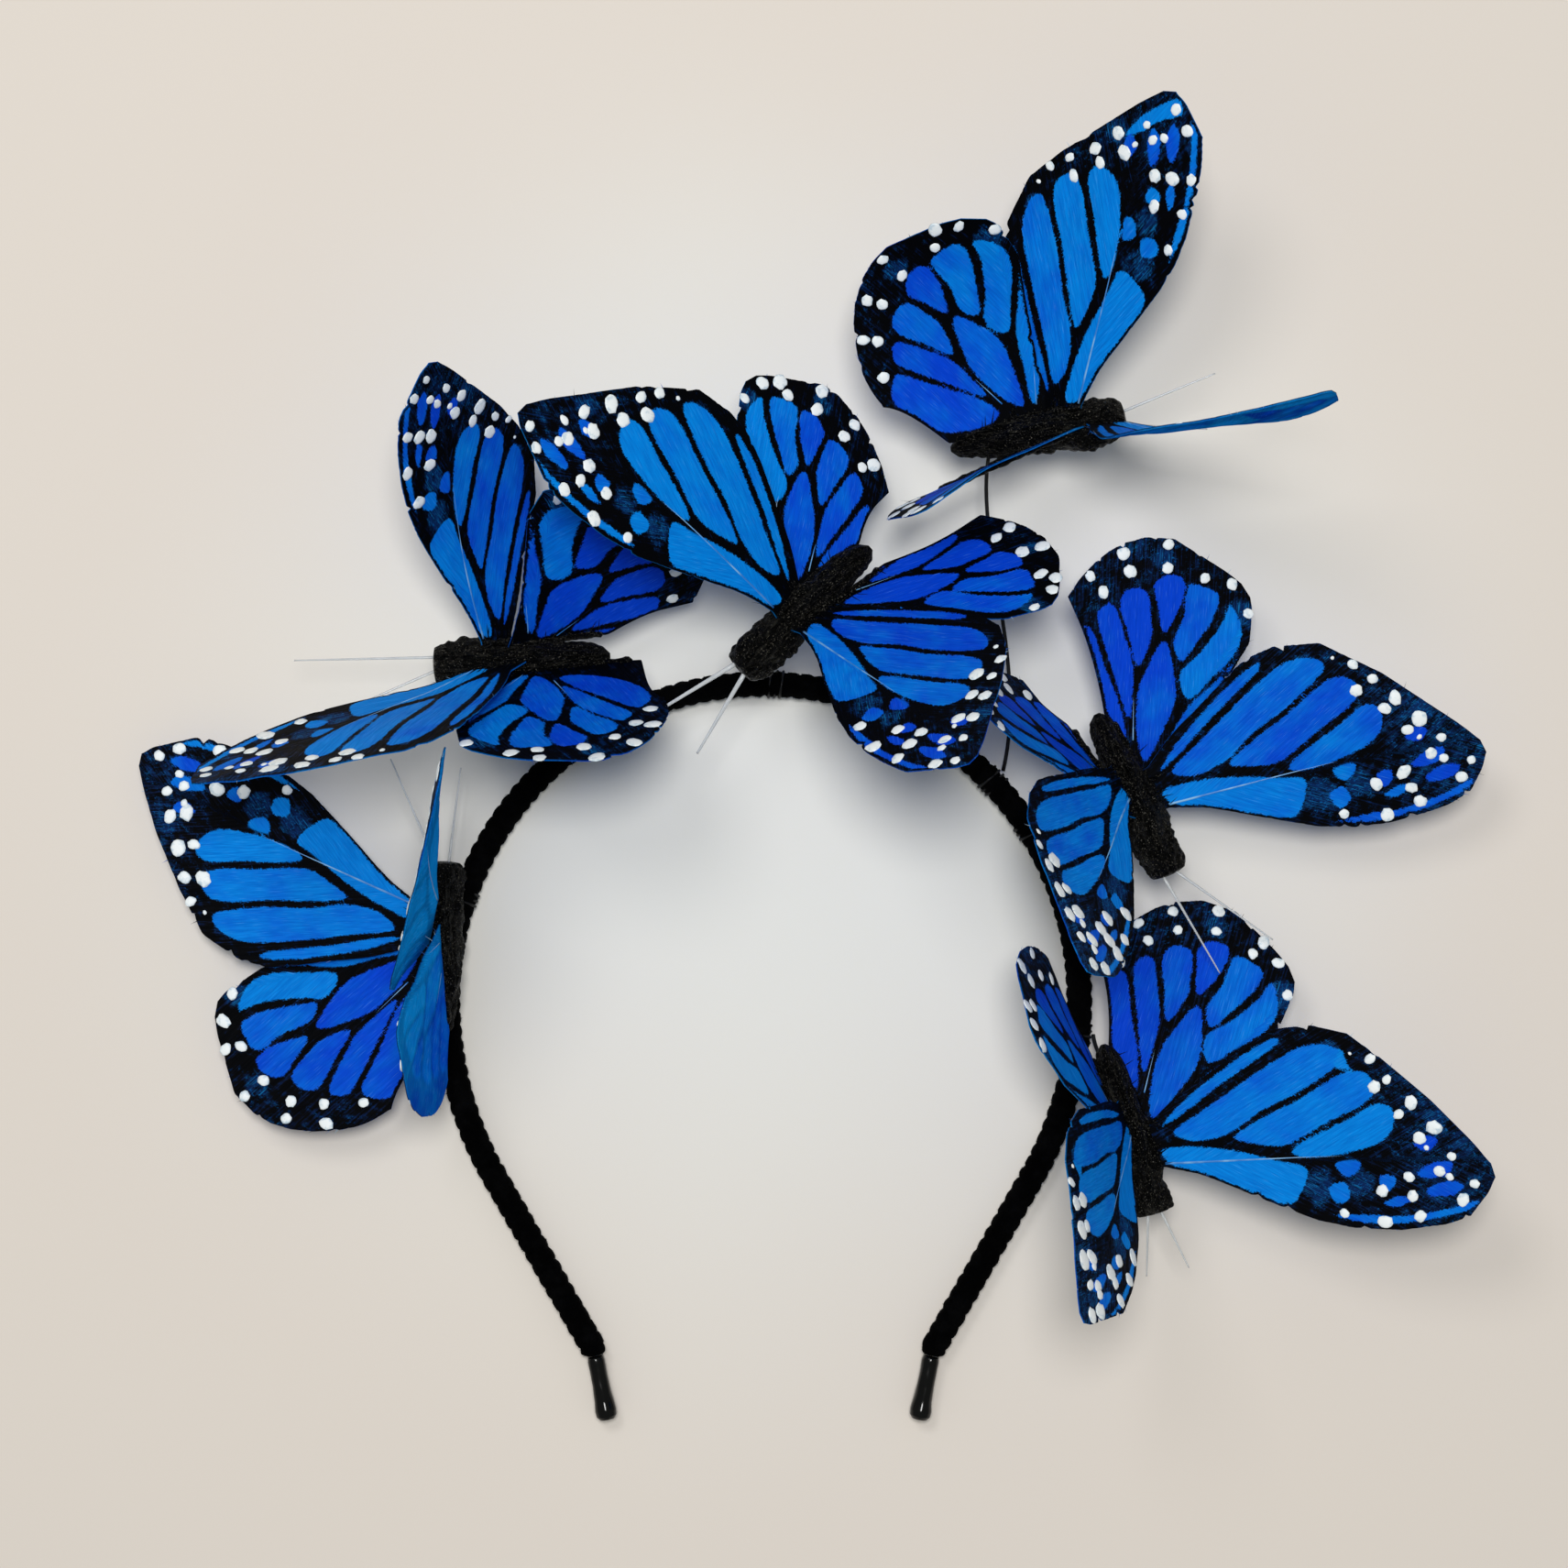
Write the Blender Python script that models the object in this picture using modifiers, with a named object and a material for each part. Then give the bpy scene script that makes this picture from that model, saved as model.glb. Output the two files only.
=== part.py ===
"""Butterfly headband: a wound alice band lying flat, with six feather butterflies on wires.

X runs across the band, Y towards its crown, Z up from the surface that it lies on.
The model is laid out round the centre of the crown's arc, and moved at the end so that
its origin is the middle of its footprint.
"""
import math
from math import radians

import bmesh
import bpy
from mathutils import Matrix, Vector

MM = 0.001
CLEARANCE = 0.3 * MM

# The band's centreline: a round crown, two flatter sides, straight legs and upright tips.
CROWN_RADIUS = 62.0 * MM
SIDE_RADIUS = 69.6 * MM
LEG_LEAN = 30.0
LEG_LENGTH = 38.0 * MM
BEND_RADIUS = 6.0 * MM
TIP_LEAN = 11.0
TIP_LENGTH = 12.7 * MM
BAND_THICKNESS = 4.8 * MM
BAND_HEIGHT = 6.2 * MM
TIP_THICKNESS = 3.4 * MM
TIP_HEIGHT = 4.8 * MM

# Each butterfly: a painted body, four feather wings, two bristles and a wire.
BODY_LENGTH = 34.0 * MM
BODY_RADIUS = 4.3 * MM
FORE_SPAN = 62.0 * MM
HIND_SPAN = 36.3 * MM
WING_THICKNESS = 1.0 * MM
WING_LAYER = 0.75 * MM
FORE_ROOT = 3.5 * MM
HIND_ROOT = -3.5 * MM
ROOT_HALF = 3.5 * MM
ANTENNA_RADIUS = 0.3 * MM
ANTENNA_LENGTH = 22.0 * MM
ANTENNA_SAG = 0.055
STEM_RADIUS = 0.38 * MM
STEM_REACH = 60.0 * MM
STEM_RISE = 26.0 * MM

# Turned profile of a body: share of its length from the head, share of its radius.
BODY_PROFILE = [
    (0.0, 0.0), (0.0, 0.6), (0.03, 0.84), (0.12, 1.0), (0.32, 1.0),
    (0.52, 0.9), (0.72, 0.74), (0.9, 0.58), (0.98, 0.38), (1.0, 0.0),
]

# Wing outlines from the root outwards: span share, leading edge and trailing edge,
# both measured ahead of the root and as shares of the span.
FORE_OUTLINE = [
    (0.0, 0.065, -0.056), (0.12, 0.127, -0.116), (0.29, 0.252, -0.174), (0.45, 0.363, -0.229),
    (0.61, 0.427, -0.21), (0.7, 0.447, -0.155), (0.79, 0.46, -0.037), (0.87, 0.46, 0.079),
    (0.94, 0.44, 0.19), (1.0, 0.38, 0.31),
]
HIND_OUTLINE = [
    (0.0, 0.085, -0.826), (0.1, 0.036, -0.906), (0.22, -0.025, -0.967), (0.43, -0.094, -1.01),
    (0.6, -0.152, -1.0), (0.74, -0.198, -0.945), (0.86, -0.248, -0.843), (0.95, -0.298, -0.697),
    (1.0, -0.405, -0.54),
]
OUTLINE_ROWS = 14
CHORD_COLUMNS = 2
TRIM_SLACK = 0.03

# Steps along each stretch of the band's centreline, and the shape of its end dips.
CROWN_STEPS = 14
SIDE_STEPS = 6
LEG_STEPS = 3
BEND_STEPS = 3
TIP_SHARES = (0.0, 0.1, 0.45, 0.72, 0.86, 0.95, 1.0)
TIP_WIDTHS = (0.94, 1.0, 0.96, 1.08, 1.14, 0.98, 0.6)

# Where the bristles leave the head, as shares of the body's radius, and the wires' handles,
# as shares of their run: along near the band and near the body, and up near the band.
ANTENNA_ASIDE = 0.35
ANTENNA_UP = 0.2
ANTENNA_STEPS = 5
STEM_LOW = 0.35
STEM_HIGH = 0.75
STEM_LIFT = 0.1
STEM_STEPS = 10

# Where each butterfly sits: angle round the crown's centre, reach from the band's centreline
# and rise above the band's top as shares of the longest reach and the highest rise,
# heading, and the angle at which its wire leaves the band.
PLACES = {
    "butterfly_1": dict(angle=170.5, reach=0.02, rise=0.19, heading=90, foot=161),
    "butterfly_2": dict(angle=125.0, reach=0.31, rise=0.54, heading=183, foot=124),
    "butterfly_3": dict(angle=84.0, reach=0.23, rise=1.00, heading=223, foot=88),
    "butterfly_4": dict(angle=64.3, reach=0.99, rise=0.61, heading=10, foot=43.7),
    "butterfly_5": dict(angle=29.6, reach=0.33, rise=0.54, heading=-65, foot=33),
    "butterfly_6": dict(angle=-18.8, reach=0.20, rise=0.54, heading=-73, foot=-6),
}

# How each wing is set on its body. Angles in degrees: lift from level, sweep forward,
# twist with the leading edge up, curl upwards over the whole span. Span and chord are
# factors on the common size, and shift is the share of the body's length that the root
# sits ahead of its usual place. Fan swings the leading edge forward, in degrees.
WINGS = {
    "butterfly_1": {
        "left_fore": dict(lift=-6, sweep=11, twist=-6, curl=8, span=0.96, chord=0.96, shift=0.04),
        "left_hind": dict(lift=-5, sweep=9, twist=-6, curl=0, span=1.03, chord=1.05, shift=0.10),
        "right_fore": dict(lift=97, sweep=6, twist=-12, curl=-18, span=0.98, chord=1.05, shift=0.07),
        "right_hind": dict(lift=99, sweep=-2, twist=3, curl=0, span=0.96, chord=0.85, shift=0.13),
    },
    "butterfly_2": {
        "left_fore": dict(lift=66, sweep=33, twist=-8, curl=0, span=1.0, chord=1.0, shift=0.06),
        "left_hind": dict(
            lift=65, sweep=30, twist=0, curl=0, span=0.96, chord=1.0, shift=0.06, fan=12,
        ),
        "right_fore": dict(lift=9, sweep=4, twist=49, curl=28, span=0.91, chord=0.89, shift=0.04),
        "right_hind": dict(
            lift=35, sweep=-22, twist=20, curl=0, span=0.95, chord=0.85, shift=0.04, fan=31,
        ),
    },
    "butterfly_3": {
        "left_fore": dict(lift=46, sweep=-18, twist=16, curl=8, span=1.0, chord=0.93, shift=-0.09),
        "left_hind": dict(lift=34, sweep=-27, twist=20, curl=0, span=1.08, chord=0.85, shift=-0.03),
        "right_fore": dict(lift=26, sweep=-9, twist=30, curl=-15, span=1.0, chord=0.98, shift=-0.06),
        "right_hind": dict(lift=6, sweep=-14, twist=24, curl=0, span=1.05, chord=0.84, shift=0.09),
    },
    "butterfly_4": {
        "left_fore": dict(lift=13, sweep=12, twist=38, curl=7, span=0.97, chord=0.99, shift=0.06),
        "left_hind": dict(
            lift=7, sweep=11, twist=-10, curl=32, span=1.03, chord=0.98, shift=0.10, fan=5,
        ),
        "right_fore": dict(lift=72, sweep=15, twist=-8, curl=26, span=0.96, chord=0.82, shift=0.29),
        "right_hind": dict(lift=81, sweep=-35, twist=16, curl=-12, span=0.96, chord=0.77, shift=0.21),
    },
    "butterfly_5": {
        "left_fore": dict(lift=0, sweep=-3, twist=-8, curl=8, span=0.95, chord=1.0, shift=-0.07),
        "left_hind": dict(lift=-7, sweep=-9, twist=-4, curl=0, span=0.98, chord=1.08, shift=0.03),
        "right_fore": dict(lift=57, sweep=8, twist=8, curl=10, span=0.92, chord=0.82, shift=-0.18),
        "right_hind": dict(lift=58, sweep=-24, twist=17, curl=0, span=0.96, chord=0.77, shift=0.10),
    },
    "butterfly_6": {
        "left_fore": dict(lift=14, sweep=-1, twist=2, curl=2, span=0.96, chord=1.02, shift=0.03),
        "left_hind": dict(lift=1, sweep=-4, twist=14, curl=-10, span=1.0, chord=1.09, shift=0.14),
        "right_fore": dict(lift=75, sweep=8, twist=4, curl=-14, span=0.95, chord=0.78, shift=-0.16),
        "right_hind": dict(lift=75, sweep=-16, twist=6, curl=-7, span=1.01, chord=1.0, shift=0.12),
    },
}

# The two bristles at each head, left then right: yaw to the left of the heading, climb,
# and share of the common length.
ANTENNAE = {
    "butterfly_1": [dict(yaw=22, climb=20, length=1), dict(yaw=-8, climb=12, length=0.82)],
    "butterfly_2": [dict(yaw=21, climb=8, length=1), dict(yaw=-2, climb=-4, length=1.2)],
    "butterfly_3": [dict(yaw=16, climb=-14, length=0.77), dict(yaw=-12, climb=-8, length=0.95)],
    "butterfly_4": [dict(yaw=12, climb=10, length=0.82), dict(yaw=-16, climb=30, length=0.73)],
    "butterfly_5": [dict(yaw=30, climb=-2, length=1), dict(yaw=6, climb=-6, length=0.95)],
    "butterfly_6": [dict(yaw=10, climb=-14, length=0.55), dict(yaw=-16, climb=-20, length=0.55)],
}

# Where each wire meets its body, as a share of the body's length behind its middle, and how
# far the wire bows to its left near the band and near the body, as shares of its own run.
STEMS = {
    "butterfly_1": dict(behind=-0.38, bow_low=0.00, bow_high=0.00),
    "butterfly_2": dict(behind=-0.06, bow_low=0.18, bow_high=0.09),
    "butterfly_3": dict(behind=-0.09, bow_low=-0.22, bow_high=0.15),
    "butterfly_4": dict(behind=0.26, bow_low=-0.10, bow_high=0.08),
    "butterfly_5": dict(behind=-0.03, bow_low=0.09, bow_high=0.06),
    "butterfly_6": dict(behind=0.18, bow_low=-0.08, bow_high=0.08),
}


def material(name, colour, roughness, coat=0.0):
    made = bpy.data.materials.new(name)
    made.use_nodes = True
    shader = made.node_tree.nodes["Principled BSDF"]
    shader.inputs["Base Color"].default_value = (*colour, 1.0)
    shader.inputs["Roughness"].default_value = roughness
    shader.inputs["Metallic"].default_value = 0.0
    shader.inputs["Coat Weight"].default_value = coat
    made.diffuse_color = (*colour, 1.0)
    return made


def add(name, data, look, parent):
    item = bpy.data.objects.new(name, data)
    data.materials.append(look)
    PARTS.objects.link(item)
    item.parent = parent
    return item


def empty(name, parent=None):
    item = bpy.data.objects.new(name, None)
    PARTS.objects.link(item)
    item.parent = parent
    return item


def round_point(angle, radius, height=0.0):
    """A point round the crown's centre, with the angle in degrees from +X."""
    turn = radians(angle)
    return Vector((radius * math.cos(turn), radius * math.sin(turn), height))


def half_band():
    """The right half of the band's centreline from the crown to the start of the tip.

    Returns the points, and the direction in which the tip runs on.
    """
    points = []
    for step in range(CROWN_STEPS + 1):
        points.append(round_point(90 - 90 * step / CROWN_STEPS, CROWN_RADIUS))
    side_centre = Vector((CROWN_RADIUS - SIDE_RADIUS, 0.0, 0.0))
    for step in range(1, SIDE_STEPS + 1):
        points.append(side_centre + round_point(-LEG_LEAN * step / SIDE_STEPS, SIDE_RADIUS))
    along = Vector((-math.sin(radians(LEG_LEAN)), -math.cos(radians(LEG_LEAN)), 0.0))
    corner = points[-1]
    for step in range(1, LEG_STEPS + 1):
        points.append(corner + along * LEG_LENGTH * step / LEG_STEPS)
    inward = Vector((along.y, -along.x, 0.0))
    bend_centre = points[-1] - inward * BEND_RADIUS
    turn = LEG_LEAN - TIP_LEAN
    for step in range(1, BEND_STEPS + 1):
        arm = Matrix.Rotation(radians(turn * step / BEND_STEPS), 3, "Z") @ (inward * BEND_RADIUS)
        points.append(bend_centre + arm)
    ahead = Vector((-math.sin(radians(TIP_LEAN)), -math.cos(radians(TIP_LEAN)), 0.0))
    return points, ahead


def strip_curve(name, points, thickness, height, radii=None, resolution=2):
    """A flat-lying strip with round edges, along points, as a curve with filled caps."""
    curve = bpy.data.curves.new(name, "CURVE")
    curve.dimensions = "3D"
    curve.twist_mode = "Z_UP"
    curve.fill_mode = "FULL"
    curve.bevel_depth = thickness / 2
    curve.extrude = (height - thickness) / 2
    curve.bevel_resolution = resolution
    curve.use_fill_caps = True
    spline = curve.splines.new("POLY")
    spline.points.add(len(points) - 1)
    for index, point in enumerate(points):
        spline.points[index].co = (*point, 1.0)
        spline.points[index].radius = radii[index] if radii else 1.0
    return curve


def make_band(parent):
    right, ahead = half_band()
    left = [Vector((-point.x, point.y, 0.0)) for point in right]
    centreline = left[:0:-1] + right
    lifted = [point + Vector((0.0, 0.0, BAND_HEIGHT / 2)) for point in centreline]
    curve = strip_curve("band", lifted, BAND_THICKNESS, BAND_HEIGHT)
    add("band", curve, VELVET, parent)
    for side, name in ((1, "tip_right"), (-1, "tip_left")):
        start = right[-1] + ahead * CLEARANCE
        points = []
        for share in TIP_SHARES:
            point = start + ahead * TIP_LENGTH * share
            points.append(Vector((side * point.x, point.y, BAND_HEIGHT / 2)))
        add(name, strip_curve(name, points, TIP_THICKNESS, TIP_HEIGHT, TIP_WIDTHS), DIP, parent)


def make_body(name, parent):
    mesh = bpy.data.meshes.new(name)
    points = []
    for along, radius in BODY_PROFILE:
        points.append((BODY_RADIUS * radius, 0.0, BODY_LENGTH * (0.5 - along)))
    edges = [(index, index + 1) for index in range(len(points) - 1)]
    mesh.from_pydata(points, edges, [])
    item = add(name, mesh, PAINT, parent)
    item.rotation_euler = (0.0, radians(90), 0.0)
    screw = item.modifiers.new("turn", "SCREW")
    screw.axis = "Z"
    screw.angle = radians(360)
    screw.steps = 12
    screw.render_steps = 12
    screw.use_merge_vertices = True
    screw.merge_threshold = 0.01 * MM
    return item


def body_radius(ahead):
    """The body's radius at a distance ahead of its middle."""
    along = min(max(0.5 - ahead / BODY_LENGTH, 0.0), 1.0)
    for (near, wide), (far, narrow) in zip(BODY_PROFILE[1:], BODY_PROFILE[2:]):
        if along <= far:
            break
    return BODY_RADIUS * (wide + (narrow - wide) * (along - near) / (far - near))


def edge_at(outline, share, column):
    """An edge's place at a span share, along a smooth curve through the outline's rows."""
    last = len(outline) - 1
    row = 0
    while row < last - 1 and outline[row + 1][0] < share:
        row += 1
    low, high = outline[row], outline[row + 1]
    before, after = outline[max(row - 1, 0)], outline[min(row + 2, last)]
    width = high[0] - low[0]
    t = (share - low[0]) / width
    slope_low = (high[column] - before[column]) / (high[0] - before[0]) * width
    slope_high = (after[column] - low[column]) / (after[0] - low[0]) * width
    return (
        low[column] * (2 * t**3 - 3 * t**2 + 1) + slope_low * (t**3 - 2 * t**2 + t)
        + high[column] * (3 * t**2 - 2 * t**3) + slope_high * (t**3 - t**2)
    )


def wing_sheet(outline, span, setting):
    """Rows of points of a wing, x ahead of the root and y outwards, trimmed at the body.

    A wing that is swept is cut where it would turn into the body.
    """
    sweep = radians(setting["sweep"])
    flat = math.cos(radians(setting["twist"]))
    reach = span * setting["span"]
    chord = span * setting["chord"]
    rows = []
    for step in range(OUTLINE_ROWS):
        share = math.sin(radians(90) * step / (OUTLINE_ROWS - 1))
        out = reach * share
        ahead = edge_at(outline, share, 1) * chord + out * math.tan(radians(setting.get("fan", 0)))
        behind = edge_at(outline, share, 2) * chord
        limit = out / (math.tan(abs(sweep)) * flat) + span * TRIM_SLACK
        if setting["sweep"] > 0:
            ahead = min(ahead, limit)
        else:
            behind = max(behind, -limit)
        row = []
        for column in range(CHORD_COLUMNS + 1):
            x = behind + (ahead - behind) * column / CHORD_COLUMNS
            row.append((x, out))
        rows.append(row)
    inset = min(y * math.cos(sweep) - x * flat * math.sin(sweep) for row in rows for x, y in row)
    return rows, -inset


def make_wing(name, parent, kind, side, setting):
    """One feather: a thin sheet, curled along its span and tilted about its root."""
    outline, span, root = (FORE_OUTLINE, FORE_SPAN, FORE_ROOT)
    layer = WING_LAYER
    if kind == "hind":
        outline, span, root = (HIND_OUTLINE, HIND_SPAN, HIND_ROOT)
        layer = -WING_LAYER
    rows, inset = wing_sheet(outline, span, setting)
    curl = radians(setting["curl"]) / (span * setting["span"])
    mesh = bpy.data.meshes.new(name)
    sheet = bmesh.new()
    grid = []
    for row in rows:
        line = []
        for x, y in row:
            if abs(curl) > 0:
                out, up = math.sin(curl * y) / curl, (1 - math.cos(curl * y)) / curl
            else:
                out, up = y, 0.0
            line.append(sheet.verts.new((x, side * out, up)))
        grid.append(line)
    for row in range(len(grid) - 1):
        for column in range(CHORD_COLUMNS):
            corners = (
                grid[row][column], grid[row][column + 1],
                grid[row + 1][column + 1], grid[row + 1][column],
            )
            sheet.faces.new(corners)
    if side < 0:
        bmesh.ops.reverse_faces(sheet, faces=sheet.faces)
    sheet.to_mesh(mesh)
    sheet.free()
    item = add(name, mesh, FEATHER, parent)
    lift = radians(setting["lift"])
    tilt = Matrix.Rotation(side * lift, 3, "X")
    tilt = tilt @ Matrix.Rotation(-side * radians(setting["sweep"]), 3, "Z")
    tilt = tilt @ Matrix.Rotation(-radians(setting["twist"]), 3, "Y")
    item.rotation_euler = tilt.to_euler()
    seat = root + setting["shift"] * BODY_LENGTH
    widest = max(body_radius(seat + offset) for offset in (-ROOT_HALF, 0.0, ROOT_HALF))
    distance = widest + CLEARANCE + inset
    across = distance * math.cos(lift) - layer * math.sin(lift)
    above = distance * math.sin(lift) + layer * math.cos(lift)
    item.location = (seat, side * across, above)
    shell = item.modifiers.new("thickness", "SOLIDIFY")
    shell.thickness = WING_THICKNESS
    shell.offset = 0.0
    return item


def wire(name, points, radius, taper=1.0, resolution=2):
    """A round wire along points, thinning to its far end by the taper."""
    curve = bpy.data.curves.new(name, "CURVE")
    curve.dimensions = "3D"
    curve.bevel_depth = radius
    curve.bevel_resolution = resolution
    curve.use_fill_caps = True
    spline = curve.splines.new("POLY")
    spline.points.add(len(points) - 1)
    for index, point in enumerate(points):
        spline.points[index].co = (*point, 1.0)
        spline.points[index].radius = 1.0 + (taper - 1.0) * index / (len(points) - 1)
    return curve


def make_antennae(name, parent):
    for side, setting in zip((1, -1), ANTENNAE[name]):
        yaw, climb = radians(setting["yaw"]), radians(setting["climb"])
        length = ANTENNA_LENGTH * setting["length"]
        flat = math.cos(climb)
        ahead = Vector((math.cos(yaw) * flat, math.sin(yaw) * flat, math.sin(climb)))
        head = BODY_LENGTH / 2 + CLEARANCE + ANTENNA_RADIUS
        start = Vector((head, side * BODY_RADIUS * ANTENNA_ASIDE, BODY_RADIUS * ANTENNA_UP))
        points = []
        for step in range(ANTENNA_STEPS + 1):
            share = step / ANTENNA_STEPS
            sag = Vector((0.0, 0.0, -ANTENNA_SAG * length * share**2))
            points.append(start + ahead * length * share + sag)
        hand = "left" if side > 0 else "right"
        label = name + "_antenna_" + hand
        add(label, wire(label, points, ANTENNA_RADIUS, 0.5, 1), BRISTLE, parent)


def bezier(points, share):
    a, b, c, d = points
    rest = 1 - share
    return a * rest**3 + b * 3 * rest**2 * share + c * 3 * rest * share**2 + d * share**3


def make_stem(name, body_place, heading, parent):
    """The wire from the band's outer side up to the underside of the body."""
    setting = STEMS[name]
    foot_radius = CROWN_RADIUS + BAND_THICKNESS / 2 + CLEARANCE + STEM_RADIUS
    foot = round_point(PLACES[name]["foot"], foot_radius, BAND_HEIGHT / 2)
    ahead = Vector((math.cos(radians(heading)), math.sin(radians(heading)), 0.0))
    behind = setting["behind"] * BODY_LENGTH
    drop = Vector((0.0, 0.0, body_radius(-behind) + CLEARANCE + STEM_RADIUS))
    end = body_place - ahead * behind - drop
    span = end - foot
    sideways = Vector((-span.y, span.x, 0.0))
    low = foot + span * STEM_LOW + sideways * setting["bow_low"]
    high = foot + span * STEM_HIGH + sideways * setting["bow_high"]
    low.z = foot.z + span.z * STEM_LIFT
    high.z = foot.z + span.z * STEM_HIGH
    handles = (foot, low, high, end)
    points = [bezier(handles, step / STEM_STEPS) for step in range(STEM_STEPS + 1)]
    label = name + "_stem"
    add(label, wire(label, points, STEM_RADIUS), WIRE, parent)


def make_butterfly(name, parent):
    place = PLACES[name]
    radius = CROWN_RADIUS + place["reach"] * STEM_REACH
    height = BAND_HEIGHT + place["rise"] * STEM_RISE
    centre = round_point(place["angle"], radius, height)
    frame = empty(name + "_frame", parent)
    frame.location = centre
    frame.rotation_euler = (0.0, 0.0, radians(place["heading"]))
    make_body(name + "_body", frame)
    for label, setting in WINGS[name].items():
        hand, kind = label.split("_")
        side = 1 if hand == "left" else -1
        make_wing(name + "_" + label, frame, kind, side, setting)
    make_antennae(name, frame)
    make_stem(name, centre, place["heading"], parent)


def footprint_offset():
    """The move that puts the middle of the footprint at the origin and the base at zero."""
    bpy.context.view_layer.update()
    graph = bpy.context.evaluated_depsgraph_get()
    low = Vector((math.inf,) * 3)
    high = -low
    for item in PARTS.objects:
        if item.type == "EMPTY":
            continue
        shape = item.evaluated_get(graph)
        mesh = shape.to_mesh()
        for vertex in mesh.vertices:
            point = shape.matrix_world @ vertex.co
            low = Vector(map(min, low, point))
            high = Vector(map(max, high, point))
        shape.to_mesh_clear()
    return Vector((-(low.x + high.x) / 2, -(low.y + high.y) / 2, -low.z))


for old in list(bpy.data.objects):
    bpy.data.objects.remove(old)
PARTS = bpy.data.collections.new("butterfly_headband")
bpy.context.scene.collection.children.link(PARTS)
VELVET = material("velvet", (0.012, 0.012, 0.013), 0.95)
DIP = material("glossy_dip", (0.01, 0.01, 0.011), 0.25, 0.5)
PAINT = material("body_paint", (0.015, 0.015, 0.017), 0.6)
FEATHER = material("feather", (0.02, 0.2, 0.72), 0.7)
BRISTLE = material("bristle", (0.75, 0.76, 0.78), 0.3)
WIRE = material("black_wire", (0.012, 0.012, 0.013), 0.4)

ROOT = empty("headband_root")
make_band(ROOT)
for butterfly in PLACES:
    make_butterfly(butterfly, ROOT)
ROOT.location = footprint_offset()
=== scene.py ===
"""Looks of the butterfly headband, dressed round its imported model.

Metres, with X across the band, Y towards its crown and Z up from the surface it lies on.
The wings, bodies and wires repeat the model's own sizes and formulas, so each piece sits
exactly where its solid does.
"""

import math
import random
from math import radians

import bpy
import numpy as np
from mathutils import Matrix, Vector, noise


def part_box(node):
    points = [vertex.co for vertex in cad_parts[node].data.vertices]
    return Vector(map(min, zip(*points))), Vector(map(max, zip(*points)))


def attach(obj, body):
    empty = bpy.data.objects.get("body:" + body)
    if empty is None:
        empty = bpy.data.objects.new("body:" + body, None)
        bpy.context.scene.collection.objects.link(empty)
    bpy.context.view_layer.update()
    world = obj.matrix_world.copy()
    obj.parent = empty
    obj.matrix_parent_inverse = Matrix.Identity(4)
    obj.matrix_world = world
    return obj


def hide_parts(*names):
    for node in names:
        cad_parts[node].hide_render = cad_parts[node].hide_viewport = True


MM = 0.001

# Sizes of the model.
CLEARANCE = 0.3 * MM
CROWN_RADIUS = 62.0 * MM
SIDE_RADIUS = 69.6 * MM
LEG_LEAN = 30.0
LEG_LENGTH = 38.0 * MM
BEND_RADIUS = 6.0 * MM
TIP_LEAN = 11.0
TIP_LENGTH = 12.7 * MM
BAND_THICKNESS = 4.8 * MM
BAND_HEIGHT = 6.2 * MM
TIP_THICKNESS = 3.4 * MM
TIP_HEIGHT = 4.8 * MM
BODY_LENGTH = 34.0 * MM
BODY_RADIUS = 4.3 * MM
FORE_SPAN = 62.0 * MM
HIND_SPAN = 36.3 * MM
WING_LAYER = 0.75 * MM
FORE_ROOT = 3.5 * MM
HIND_ROOT = -3.5 * MM
ROOT_HALF = 3.5 * MM
ANTENNA_RADIUS = 0.3 * MM
ANTENNA_LENGTH = 22.0 * MM
ANTENNA_SAG = 0.055
STEM_RADIUS = 0.38 * MM
STEM_REACH = 60.0 * MM
STEM_RISE = 26.0 * MM

# Turned profile of a body: share of its length from the head, share of its radius.
BODY_PROFILE = [
    (0.0, 0.0), (0.0, 0.6), (0.03, 0.84), (0.12, 1.0), (0.32, 1.0),
    (0.52, 0.9), (0.72, 0.74), (0.9, 0.58), (0.98, 0.38), (1.0, 0.0),
]

# Wing outlines from the root outwards: span share, leading edge and trailing edge,
# both measured ahead of the root and as shares of the span.
FORE_OUTLINE = [
    (0.0, 0.065, -0.056), (0.12, 0.127, -0.116), (0.29, 0.252, -0.174), (0.45, 0.363, -0.229),
    (0.61, 0.427, -0.21), (0.7, 0.447, -0.155), (0.79, 0.46, -0.037), (0.87, 0.46, 0.079),
    (0.94, 0.44, 0.19), (1.0, 0.38, 0.31),
]
HIND_OUTLINE = [
    (0.0, 0.085, -0.826), (0.1, 0.036, -0.906), (0.22, -0.025, -0.967), (0.43, -0.094, -1.01),
    (0.6, -0.152, -1.0), (0.74, -0.198, -0.945), (0.86, -0.248, -0.843), (0.95, -0.298, -0.697),
    (1.0, -0.405, -0.54),
]
OUTLINE_ROWS = 14
TRIM_SLACK = 0.03

# Where the bristles leave the head, as shares of the body's radius, and the wires' handles,
# as shares of their run: along near the band and near the body, and up near the band.
ANTENNA_ASIDE = 0.35
ANTENNA_UP = 0.2
STEM_LOW = 0.35
STEM_HIGH = 0.75
STEM_LIFT = 0.1

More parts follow.
